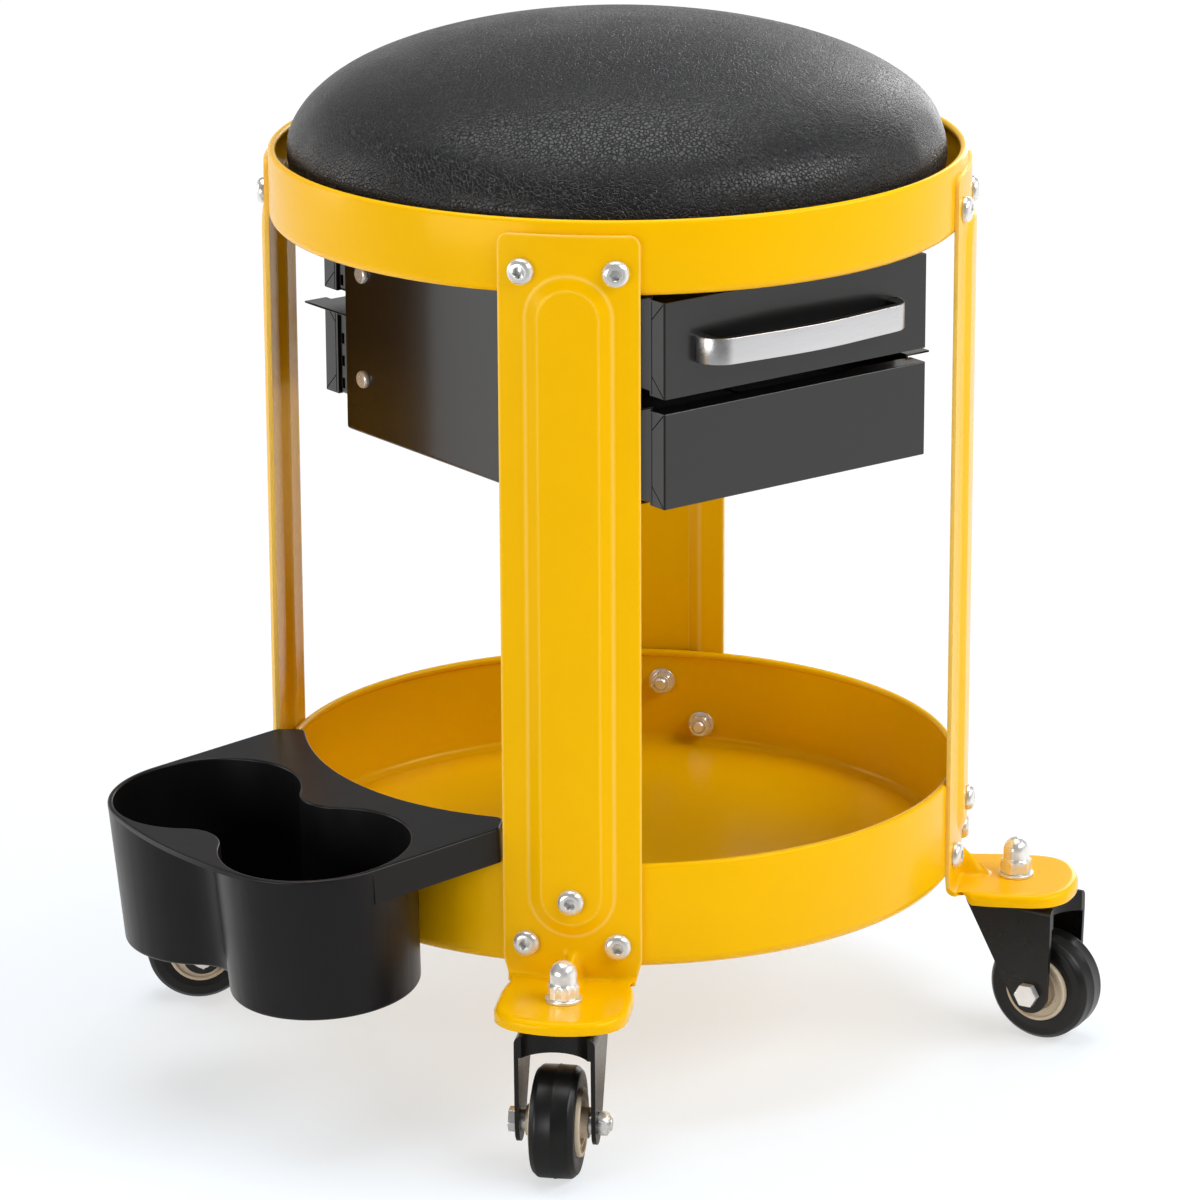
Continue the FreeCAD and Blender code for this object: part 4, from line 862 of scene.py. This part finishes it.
def with_dart(point, along):
    """Pulls the middle of the bend onto a straight rib that runs from the wall to the foot."""
    if abs(point.y) >= DART_HALF or abs(along) >= DART_REACH:
        return point
    pull = math.cos(math.pi * point.y / (2 * DART_HALF)) ** 2
    share = (along + DART_REACH) / (2 * DART_REACH)
    rib_x = LEG_RADIUS + DART_REACH * share
    rib_z = foot_top + DART_REACH * (1.0 - share)
    return point.lerp(Vector((rib_x, point.y, rib_z)), pull)


def leg_sheet():
    """Points, faces and painted highlight values of the leg's outer skin, and the foot's border."""
    rows = leg_rows()
    points = []
    painted_highlight = []
    for kind, value in rows:
        half = half_width(foot_top - value)
        for column in COLUMN_PLACES:
            points.append(with_dart(*leg_point(kind, value, column)))
            painted_highlight.append(painted_edge_highlight(column * half, value, half) if kind == "wall" else 0.0)
    width = COLUMNS + 1
    faces = []
    for row in range(len(rows) - 1):
        for first in range(row * width, row * width + COLUMNS):
            faces.append((first, first + 1, first + width + 1, first + width))
    foot_rows = [index * width for index, row in enumerate(rows) if row[0] == "foot"]
    border = foot_rows + [foot_rows[-1] + step for step in range(1, COLUMNS)]
    border += [first + COLUMNS for first in reversed(foot_rows)]
    return points, faces, painted_highlight, border


leg_points, leg_faces, leg_painted_highlight, leg_border = leg_sheet()
print("leg sheet", len(leg_points), "points,", len(leg_border), "on its border")

# %% [markdown]
# The turned-down edge grows from that border: ring after ring goes out and down round a quarter
# turn, then straight down. Near the bend it fades to nothing. Solidify then gives the sheet its
# two millimetres, and a small Bevel takes the cut edges' sharpness off.

# %% Turn the edge down, thicken, and place four legs
def outward_at(points, border, index):
    before = points[border[max(index - 1, 0)]]
    after = points[border[min(index + 1, len(border) - 1)]]
    along = (after - before).to_2d().normalized()
    return Vector((along.y, -along.x, 0.0))


def turned_down_edge(points, faces, border):
    drop = foot_top - lip_bottom
    previous = list(border)
    for angle in list(range(15, 91, 15)) + [None]:
        ring = []
        for index, start in enumerate(border):
            share = edge_share(points[start].x)
            out = math.sin(math.radians(angle or 90.0)) * FOOT_EDGE * share
            down = drop if angle is None else FOOT_EDGE * (1.0 - math.cos(math.radians(angle)))
            ring.append(len(points))
            step = outward_at(points, border, index) * out
            points.append(points[start] + step - Vector((0.0, 0.0, down * share)))
        for index in range(len(border) - 1):
            faces.append((previous[index], previous[index + 1], ring[index + 1], ring[index]))
        previous = ring


turned_down_edge(leg_points, leg_faces, leg_border)
leg_skin = mesh_from("leg_skin", [point * MM for point in leg_points], leg_faces)
leg_painted_highlight += [0.0] * (len(leg_points) - len(leg_painted_highlight))
# Each point keeps its painted highlight value, which the yellow coat turns into a paler yellow.
leg_skin.attributes.new("painted_edge_highlight", "FLOAT", "POINT").data.foreach_set("value", leg_painted_highlight)
tidy_faces(leg_skin, 80.0, weld=0.02 * MM)
wall_middle = Vector((LEG_RADIUS * MM, 0.0, 0.25))
middle_face = min(leg_skin.polygons, key=lambda face: (face.center - wall_middle).length)
if middle_face.normal.x < 0:
    leg_skin.flip_normals()
sheet = {"thickness": LEG_SHEET * MM, "offset": -1.0}
sheet |= {"use_even_offset": True, "use_quality_normals": True}
leg_solid = apply_modifiers(leg_skin, sheet=("SOLIDIFY", sheet), edge=bevel(0.4, 2, 60.0))
tidy_faces(leg_solid, 50.0)
for corner, angle in CORNERS.items():
    place = SEAT_AXIS @ Matrix.Rotation(math.radians(angle), 4, "Z")
    new_piece(corner + "_leg_sheet", leg_solid.copy(), corner + "_leg", place=place)
print("leg faces", len(leg_solid.polygons))

# %% [markdown]
# The cushion is foam under stretched vinyl. It starts as the measured dome, a few millimetres
# small, remeshed into even squares. A short cloth simulation without gravity blows it up from
# inside, and each point may move only a little, so it fills its pan without spilling over the
# rim. One subdivision rounds what is left.

# %% The cushion's starting shape
CUSHION_INSET = 2.2
DOME_RISE = 59.0
DRAW_IN = 5.2
cover_low, cover_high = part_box("seat_cover")
cushion_base = cover_low.z / MM
cushion_top = cover_high.z / MM
cushion_radius = (cover_high.x - cover_low.x) / 2 / MM
dome_edge = cushion_top - DOME_RISE


def dome_outline(inset):
    radius = cushion_radius - inset
    base = cushion_base + inset / 2
    lower = rounded_outline([
        (0.0, base),
        (radius - DRAW_IN, base, 2.4),
        (radius - DRAW_IN, dome_edge - 15.0, 7.0),
        (radius, dome_edge - 8.0, 7.0),
        (radius, dome_edge),
    ], 6)
    rise = DOME_RISE - inset
    upper = quarter(0.0, dome_edge, radius, rise, range(2, 90, 2))
    return lower + upper + [(0.0, dome_edge + rise, 0.0)]


cushion_mesh = turned_mesh(dome_outline(CUSHION_INSET), vinyl, 128)
cushion_mesh.transform(SEAT_AXIS)
print("cushion radius", round(cushion_radius, 1), "top", round(cushion_top, 1))

# %% [markdown]
# The remesh and the simulation. Points near the pan are kept inside its wall, and the
# underside stays flat on the pan's floor, because that is what it rests on.

# %% Remesh and blow up the cushion
PAN_CLEARANCE = 0.8
SIM_FRAMES = 20
PRESSURE = 4.0
SWELL_LIMIT = 2.6 * MM


def blow_up(mesh):
    carrier = link_object("cushion_carrier", mesh)
    cloth = carrier.modifiers.new("cloth", "CLOTH")
    cloth.settings.quality = 5
    cloth.settings.use_pressure = True
    cloth.settings.uniform_pressure_force = PRESSURE
    cloth.settings.effector_weights.gravity = 0.0
    cloth.point_cache.frame_start = 1
    cloth.point_cache.frame_end = SIM_FRAMES
    for step in range(1, SIM_FRAMES + 1):
        scene.frame_set(step)
    blown = read_back(carrier)
    scene.frame_set(1)
    largest = 0.0
    for start, end in zip(mesh.vertices, blown.vertices):
        way = end.co - start.co
        largest = max(largest, way.length)
        if way.length > SWELL_LIMIT:
            end.co = start.co + way.normalized() * SWELL_LIMIT
    print("largest move", round(largest / MM, 1), "mm, kept to", round(SWELL_LIMIT / MM, 1))
    return blown


def keep_in_pan(mesh):
    """Holds the cushion clear of the pan's wall and floor."""
    widest = (SHELL_RADIUS - 2 * RIM_BEAD - PAN_CLEARANCE) * MM
    for vertex in mesh.vertices:
        arm = Vector((vertex.co.x - axis_x, vertex.co.y - axis_y))
        if arm.length > widest:
            arm = arm.normalized() * widest
            vertex.co.x = axis_x + arm.x
            vertex.co.y = axis_y + arm.y
        vertex.co.z = max(vertex.co.z, (cushion_base + 0.05) * MM)


even = apply_modifiers(cushion_mesh, even=("REMESH", {"mode": "VOXEL", "voxel_size": 5.0 * MM}))
even = blow_up(even)
work = bmesh.new()
work.from_mesh(even)
axes = {"use_axis_x": True, "use_axis_y": True, "use_axis_z": True}
for _ in range(6):
    bmesh.ops.smooth_vert(work, verts=work.verts, factor=0.5, **axes)
work.to_mesh(even)
work.free()
keep_in_pan(even)
padded = apply_modifiers(even, rounder=("SUBSURF", {"levels": 1, "render_levels": 1}))
padded.materials.clear()
padded.shade_smooth()
cushion = new_piece("cushion", padded, "seat_cover", "seat_foam")
print("cushion faces", len(padded.polygons))

# %% [markdown]
# Fasteners repeat, so one piece of each kind is spun, and a second tree sets it in place many
# times. It puts an instance on every point, facing the way that the point gives, with a chance
# spin about its own axis from a fixed seed, because nobody tightens twenty screws to the same
# angle.

# %% Tree: set a piece in place many times
def placing_tree():
    inputs = {"Places": "Object", "Piece": "Object", "Chance turn": "Float", "Seed": "Int"}
    inputs["Finish"] = "Material"
    tree, given, identifiers = new_tree("placed_fasteners", inputs)
    facing = {"Vector": named_value(tree, "facing", "FLOAT_VECTOR")}
    aim = add_node(tree, "FunctionNodeAlignRotationToVector", facing, axis="Z")
    limits = {3: given["Chance turn"], "Seed": given["Seed"]}
    chance = add_node(tree, "FunctionNodeRandomValue", limits, data_type="FLOAT")
    about = {"Axis": (0.0, 0.0, 1.0), "Angle": chance.outputs[1]}
    spin = add_node(tree, "FunctionNodeAxisAngleToRotation", about)
    turns = {"Rotation": aim.outputs["Rotation"], "Rotate By": spin.outputs["Rotation"]}
    turned = add_node(tree, "FunctionNodeRotateRotation", rotation_space="LOCAL", inputs=turns)
    copies = add_node(tree, "GeometryNodeInstanceOnPoints", {
        "Points": from_object(tree, given["Places"]),
        "Instance": from_object(tree, given["Piece"]),
        "Rotation": turned.outputs["Rotation"],
    })
    close_tree(tree, given, copies.outputs["Instances"])
    return tree, identifiers


PLACED, PLACED_INPUTS = placing_tree()


def fasten(name, node, outline, places, chance=0.0, seed=1, finish=zinc, steps=48,
           sharp_degrees=35.0, slot=None):
    """Spins an outline and sets copies of it at every (point, facing) pair of places."""
    points = mesh_from("places", [place[0] for place in places])
    facing = points.attributes.new("facing", "FLOAT_VECTOR", "POINT")
    facing.data.foreach_set("vector", [value for place in places for value in place[1]])
    spots = link_object("places", points)
    piece = link_object("piece", turned_mesh(outline, finish, steps))
    values = {"Places": spots, "Piece": piece, "Chance turn": chance, "Seed": seed}
    mesh = run_tree(PLACED, PLACED_INPUTS, values | {"Finish": finish})
    for holder in (spots, piece):
        bpy.data.objects.remove(holder)
    new_piece(name, tidy_faces(mesh, sharp_degrees), node, slot=slot)
    print(name, len(places), "copies,", len(mesh.polygons), "faces")


print("tree", PLACED.name, "has", len(PLACED.nodes), "nodes")

# %% [markdown]
# Twenty screws hold the legs, five to a leg: two near the top, two near the bottom and one on
# the pressed panel. They have low round heads with a small dark hex socket. The outline runs
# from the threaded tip along the shank, over the head's dome and down into a six-sided hole.
# The thread is a row of small ridges, since only its tip shows.

# %% Leg screws
SCREW_END = 149.9
SHANK = 3.0
HEAD_RADIUS = 6.0
HEAD_HEIGHT = 3.6
HEAD_FLANGE = 0.8
SOCKET = 2.35
SIXTH_TURN = math.tau / 6


def thread(radius, low, high, pitch):
    ridges = []
    height = low
    while height + pitch < high:
        ridges += [(radius - 0.3, height, 0.0), (radius, height + pitch / 2, 0.0)]
        height += pitch
    return ridges


def socket_screw(length):
    """Outline of a threaded screw with a low round head and a hex socket."""
    land = SOCKET + 0.75
    tip = [(0.0, -length, 0.0), (SHANK - 0.7, -length, 0.0)]
    tip += thread(SHANK, -length + 0.5, -1.0, 1.0)
    head = [(SHANK, -0.6, 0.0), (SHANK, 0.0, 0.0), (HEAD_RADIUS - 0.2, 0.0, 0.0)]
    head += [(HEAD_RADIUS, 0.2, 0.0), (HEAD_RADIUS, HEAD_FLANGE, 0.0)]
    rise = HEAD_HEIGHT - HEAD_FLANGE
    dome = quarter(land, HEAD_FLANGE, HEAD_RADIUS - land, rise, range(10, 91, 8))
    hole = [(SOCKET + 0.25, HEAD_HEIGHT, 0.0), (SOCKET, HEAD_HEIGHT - 0.25, 1.0)]
    hole += [(SOCKET, 0.5, 1.0), (SOCKET - 1.0, 0.5, 0.0), (0.0, 1.0, 0.0)]
    return tip + head + dome + hole


def out_from_seat(angle_degrees, height, radius):
    angle = math.radians(angle_degrees)
    way = Vector((math.cos(angle), math.sin(angle), 0.0))
    return (Vector((axis_x, axis_y, height * MM)) + way * radius * MM, way)


pan_floor = pan_low.z / MM
tray_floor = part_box("tool_tray")[0].z / MM
upper_spread = math.degrees(math.asin(20.6 / LEG_RADIUS))
lower_spread = math.degrees(math.asin(20.4 / LEG_RADIUS))
corner_spots = []
panel_spots = []
for angle in CORNERS.values():
    for side in (-1, 1):
        corner_spots.append((angle + side * upper_spread, pan_floor + 11.1))
        corner_spots.append((angle + side * lower_spread, tray_floor + 11.7))
    panel_spots.append((angle, tray_floor + 33.1))
for name, spots, seat in (
    ("leg_screws", corner_spots, LEG_RADIUS),
    ("panel_screws", panel_spots, LEG_RADIUS + PANEL_HEIGHT),
):
    places = [out_from_seat(*spot, seat) for spot in spots]
    fasten(name, "leg_bolts", socket_screw(seat - SCREW_END), places, SIXTH_TURN, 3)

# %% [markdown]
# Inside the pan and the tray every screw ends in a washer and a hex nut. The washer is a ring
# with its edges just taken off. The nut has chamfered corners, which come from a round ring
# right above a six-sided one, and a raised collar.

# %% Washers and nuts inside the shells
def washer_outline(hole, radius, thickness):
    ease = thickness * 0.25
    top = [(radius, thickness, ease), (hole, thickness)]
    return rounded_outline([(hole, 0.0), (radius, 0.0, ease)] + top, 3, closed=True)


def nut_outline(across_flats, hole, height, collar):
    half = across_flats / 2
    chamfer = half * 0.12
    top = height + 0.7
    return [
        (hole, 0.4, 0.0), (hole + 0.4, 0.0, 0.0), (half - 0.1, 0.0, 0.0), (half, chamfer, 1.0),
        (half, height - chamfer, 1.0), (half - 0.1, height, 0.0), (collar, height, 0.0),
        (collar - 0.2, top, 0.0), (hole + 0.5, top, 0.0), (hole, height + 0.2, 0.0),
        (hole, 0.4, 0.0),
    ]


WASHER = 1.4
washer_seat = math.sqrt(SHELL_INNER ** 2 - 6.5 ** 2) - WASHER
inner_places = [out_from_seat(*spot, washer_seat) for spot in corner_spots + panel_spots]
nut_places = [(place, -way) for place, way in inner_places]
fasten("leg_screw_washers", "leg_washers", washer_outline(3.2, 6.5, WASHER), inner_places)
fasten("leg_screw_nuts", "leg_nuts", nut_outline(10.0, 3.0, 4.0, 4.3), nut_places, SIXTH_TURN, 8)

# %% [markdown]
# Four chromed cap nuts close the caster studs on top of the feet: a washer, a hexagon with
# chamfered corners and a tall dome. The dome's rings are close together, because a mirror
# finish shows every facet.

# %% Cap nuts on the feet
CAP_HALF = 6.5
CAP_DOME = 6.1
DOME_START = 10.6
CAP_HEIGHT = 17.0
FOOT_WASHER = 1.5
STUD_FROM_AXIS = 187.0
UP = Vector((0.0, 0.0, 1.0))
cap_outline = [
    (0.0, 0.0, 0.0), (CAP_HALF - 0.1, 0.0, 0.0), (CAP_HALF, 0.5, 1.0), (CAP_HALF, 5.9, 1.0),
    (CAP_HALF - 0.08, 6.7, 0.0), (CAP_DOME + 0.1, 7.0, 0.0), (CAP_DOME, 7.4, 0.0),
    (CAP_DOME, DOME_START, 0.0),
] + quarter(0.0, DOME_START, CAP_DOME, CAP_HEIGHT - DOME_START, range(6, 91, 6))
stud_places = [out_from_seat(angle, foot_top, STUD_FROM_AXIS)[0] for angle in CORNERS.values()]
washer_places = [(place, UP) for place in stud_places]
cap_places = [(place + UP * FOOT_WASHER * MM, UP) for place in stud_places]
foot_washer = washer_outline(4.1, 8.25, FOOT_WASHER)
washer_look = {"steps": 72, "slot": "zinc_steel"}
fasten("cap_nut_foot_washers", "cap_nut_washers", foot_washer, washer_places, **washer_look)
cap_look = {"finish": chrome, "steps": 72, "sharp_degrees": 25.0}
fasten("chrome_cap_nuts", "cap_nuts", cap_outline, cap_places, SIXTH_TURN, 5, **cap_look)

# %% [markdown]
# A caster wheel is a black tyre on a cream hub. The tyre's tread has a fine mould line round
# its middle; the hub's face has a raised rim, a sunk ring and a boss. Each wheel turns by
# itself, so each is its own pair of pieces. Its axle lies across the line from the stud to the
# wheel's middle.

# %% Tyres and hubs
TYRE_HALF = 10.0
TYRE_RADIUS = 25.4
TREAD = TYRE_RADIUS - 0.18
HUB_FACE = 11.5
tyre_side = [
    (15.5, TYRE_HALF - 0.6), (17.4, TYRE_HALF - 0.3, 0.3), (19.0, TYRE_HALF, 0.5),
    (22.8, TYRE_HALF, 1.8), (TYRE_RADIUS - 0.3, TYRE_HALF - 2.6, 2.2),
]
mould_line = [(TREAD, 0.7), (TYRE_RADIUS, 0.25), (TYRE_RADIUS, -0.25), (TREAD, -0.7)]
hub_side = [
    (5.1, 14.0), (7.0, 14.0, 0.4), (7.0, HUB_FACE - 2.2, 0.3), (9.5, HUB_FACE - 2.2, 0.3),
    (9.9, HUB_FACE - 0.6, 0.3), (10.7, HUB_FACE - 0.6, 0.2), (11.0, HUB_FACE - 1.3, 0.2),
    (13.4, HUB_FACE - 1.3, 0.3), (13.8, HUB_FACE, 0.4), (15.2, HUB_FACE, 0.6),
    (15.55, HUB_FACE - 1.5, 0.3),
]


def mirrored(side):
    return [(point[0], -point[1]) + tuple(point[2:]) for point in reversed(side)]


def facing_place(point, way):
    return Matrix.Translation(point) @ way.to_track_quat("Z", "Y").to_matrix().to_4x4()


tyre_outline = rounded_outline([(15.5, -9.4)] + tyre_side + mould_line + mirrored(tyre_side), 8)
hub_outline = rounded_outline(hub_side + mirrored(hub_side), 4, closed=True)
tyre_mesh = turned_mesh(tyre_outline, tyre_rubber, 120, 50.0)
hub_mesh = turned_mesh(hub_outline, hub_cream, 96)
wheels = {}
for corner, stud in zip(CORNERS, stud_places):
    low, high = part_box(corner + "_tyre")
    middle = (low + high) / 2
    axle = UP.cross(Vector((middle.x - stud.x, middle.y - stud.y, 0.0)).normalized())
    wheels[corner] = (middle, axle)
    place = facing_place(middle, axle)
    for name, mesh in (("tyre", tyre_mesh), ("hub", hub_mesh)):
        new_piece(f"{corner}_wheel_{name}", mesh.copy(), f"{corner}_{name}", place=place)
print("tyre", len(tyre_mesh.polygons), "hub", len(hub_mesh.polygons))

# %% [markdown]
# The hex nut on each axle is turned like the others. Its size and place are read off the
# measured nut: how far its points lie from the axle, and from the wheel's middle.

# %% Axle nuts
for corner, (middle, axle) in wheels.items():
    node = corner + "_axle_nut"
    arms = [vertex.co - middle for vertex in frame["nodes"][node].data.vertices]
    if sum(arm.dot(axle) for arm in arms) < 0:
        axle = -axle
    along = [arm.dot(axle) / MM for arm in arms]
    corner_radius = max((arm - axle * arm.dot(axle)).length for arm in arms) / MM
    flats = 2 * corner_radius * math.cos(math.radians(30.0))
    height = max(along) - min(along)
    axle_nut = turned_mesh(nut_outline(flats, 3.0, height - 0.7, 4.1), zinc, 48)
    place = facing_place(middle + axle * min(along) * MM, axle)
    new_piece(node + "_turned", tidy_faces(axle_nut), node, place=place)
print("axle nuts", round(flats, 2), "across flats,", round(height, 2), "high")

# %% [markdown]
# Folded and moulded pieces keep the measured shape, but it is the thin bright line along an
# edge that makes metal look like metal. This helper copies a measured mesh, welds its
# triangles, joins the ones that lie flat together, and rounds the edges by a few tenths of a
# millimetre.

# %% Soft edges for measured pieces
EDGE_DEGREES = 30.0
EDGE_ROUND = 0.8


def soften(node, width, segments=2):
    mesh = frame["nodes"][node].data.copy()
    work = bmesh.new()
    work.from_mesh(mesh)
    bmesh.ops.remove_doubles(work, verts=work.verts, dist=0.002 * MM)
    flat = math.radians(0.6)
    bmesh.ops.dissolve_limit(work, angle_limit=flat, verts=work.verts, edges=work.edges)
    work.to_mesh(mesh)
    work.free()
    shade_crisp(mesh, EDGE_DEGREES)
    edge = bevel(width, segments, EDGE_DEGREES, harden_normals=False)
    mesh = apply_modifiers(mesh, edge=edge, weigh=("WEIGHTED_NORMAL", {"keep_sharp": True}))
    new_piece(node + "_finished", mesh, node)
    print(node, "faces", len(mesh.polygons))


for corner in CORNERS:
    soften(corner + "_fork", 0.6)
    soften(corner + "_axle_bolt", 0.25)
for node in ("drawer_case", "upper_drawer_box", "lower_drawer_box"):
    soften(node, 0.3)
LEVELS = ("upper", "lower")
PANELS = [f"{level}_drawer_{end}" for level in LEVELS for end in ("front", "back")]
for node in PANELS:
    soften(node, EDGE_ROUND, segments=3)
soften("cup_holder", 0.5, segments=3)
soften("race_cups", 0.3)

# %% [markdown]
# Each handle is a low bow: a polished strip wrapped over a dark bar, with a post at each end.
# Seen from above, each is the space between two rounded lines that turn back to the panel in a
# wide curve, so one helper bends a strip between two such lines. Its length, depth and height
# come from the measured strip.

# %% Bow handles
CROWN_RADIUS = 190.0
SHOULDER_OUT = 12.0
SHOULDER_RADIUS = 12.5
POST_RADIUS = 2.0
STRIP = 0.8
BAR = 4.0
POST = 6.8


def bow_line(side, out, bend, crown):
    """Plan of the bow, as (across, out) points from one end on the panel to the other."""
    there = [(-side, 0.0), (-side, out, bend), (0.0, crown, CROWN_RADIUS)]
    return rounded_outline(there + [(side, out, bend), (side, 0.0)], 14)


def bent_strip(outer, inner, low, high, face, out_way):
    """Closed mesh between two plan lines, from low to high, standing out from a panel's face."""
    points = []
    for pair in zip(outer, inner):
        for x, out, _ in pair:
            points += [Vector((x, face + out_way * out, height)) * MM for height in (low, high)]
    last = len(points) - 4
    faces = [(0, 1, 3, 2), (last, last + 1, last + 3, last + 2)]
    for first in range(0, last, 4):
        for start, end in ((0, 1), (1, 3), (3, 2), (2, 0)):
            faces.append((first + start, first + end, first + 4 + end, first + 4 + start))
    mesh = tidy_faces(mesh_from("bent_strip", points, faces))
    return tidy_faces(apply_modifiers(mesh, edge=bevel(0.25, 2, 40.0)), 50.0)


for level in LEVELS:
    trim_low, trim_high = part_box(level + "_handle_trim")
    out_way = -1.0 if trim_high.y < axis_y else 1.0
    face = (trim_high.y if out_way < 0 else trim_low.y) / MM
    half = (trim_high.x - trim_low.x) / 2 / MM
    depth = (trim_high.y - trim_low.y) / MM
    crown = depth + CROWN_RADIUS * (1 / math.cos(math.atan(5.5 / half)) - 1)
    low, high = trim_low.z / MM, trim_high.z / MM
    outer = bow_line(half, SHOULDER_OUT, SHOULDER_RADIUS, crown)
    between = bow_line(half - STRIP, SHOULDER_OUT - STRIP, SHOULDER_RADIUS - STRIP, crown - STRIP)
    inner = bow_line(half - POST, SHOULDER_OUT - BAR, POST_RADIUS, crown - BAR)
    across = Matrix.Translation(((trim_low.x + trim_high.x) / 2, 0.0, 0.0))
    strip = bent_strip(outer, between, low, high, face, out_way)
    bar = bent_strip(between, inner, low + 0.3, high - 0.3, face, out_way)
    for node, mesh in ((level + "_handle_trim", strip), (level + "_handle", bar)):
        new_piece(node + "_bow", mesh, node, place=across)
    print(level, "handle", round(2 * half, 1), "long, stands out", round(depth, 1))

# %% [markdown]
# A drawer's end panel is one sheet folded like a box lid. On its two narrow sides the folds
# meet in a mitre: a thin dark seam runs back and inwards from each corner, to a fold line.
# Each seam is a closed bar, let into the side so that only a hair of it stands out. Its
# near-black finish is painted shadow in the mitre and along the fold.

# %% Seams on the drawer panels
SEAM_HALF = 0.22
SEAM_PROUD = 0.03
SEAM_DEPTH = 0.25
SEAM_BACK = 9.0
BAR_FACES = [(0, 1, 2, 3), (7, 6, 5, 4), (0, 4, 5, 1), (1, 5, 6, 2), (2, 6, 7, 3), (3, 7, 4, 0)]


def seam_bar(start, end, outward):
    """Eight corners of a thin bar between two points on a panel's narrow side."""
    wide = (end - start).normalized().cross(outward) * SEAM_HALF
    corners = []
    for lift in (outward * SEAM_PROUD, -outward * SEAM_DEPTH):
        corners += [start - wide + lift, end - wide + lift, end + wide + lift, start + wide + lift]
    return corners


def panel_seams(node):
    low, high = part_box(node)
    inward = 1.0 if high.y < axis_y else -1.0
    front = (low.y if inward > 0 else high.y) / MM
    bottom, top = low.z / MM, high.z / MM
    fold = front + inward * SEAM_BACK
    corners = []
    for x, way in ((low.x / MM, -1.0), (high.x / MM, 1.0)):
        outward = Vector((way, 0.0, 0.0))
        for z, up in ((bottom, 1.0), (top, -1.0)):
            start = Vector((x, front + inward * EDGE_ROUND, z + up * EDGE_ROUND))
            corners += seam_bar(start, Vector((x, fold, z + up * SEAM_BACK)), outward)
        ends = [Vector((x, fold, z)) for z in (bottom + EDGE_ROUND, top - EDGE_ROUND)]
        corners += seam_bar(*ends, outward)
    bars = range(0, len(corners), 8)
    faces = [tuple(first + index for index in face) for first in bars for face in BAR_FACES]
    return tidy_faces(mesh_from("seam_lines", [corner * MM for corner in corners], faces))


for node in PANELS:
    seams = panel_seams(node)
    seams.materials.append(seam_shadow)
    new_piece(node + "_seams", seams, node, replaces=False)
    print(node, "seams", len(seams.polygons))
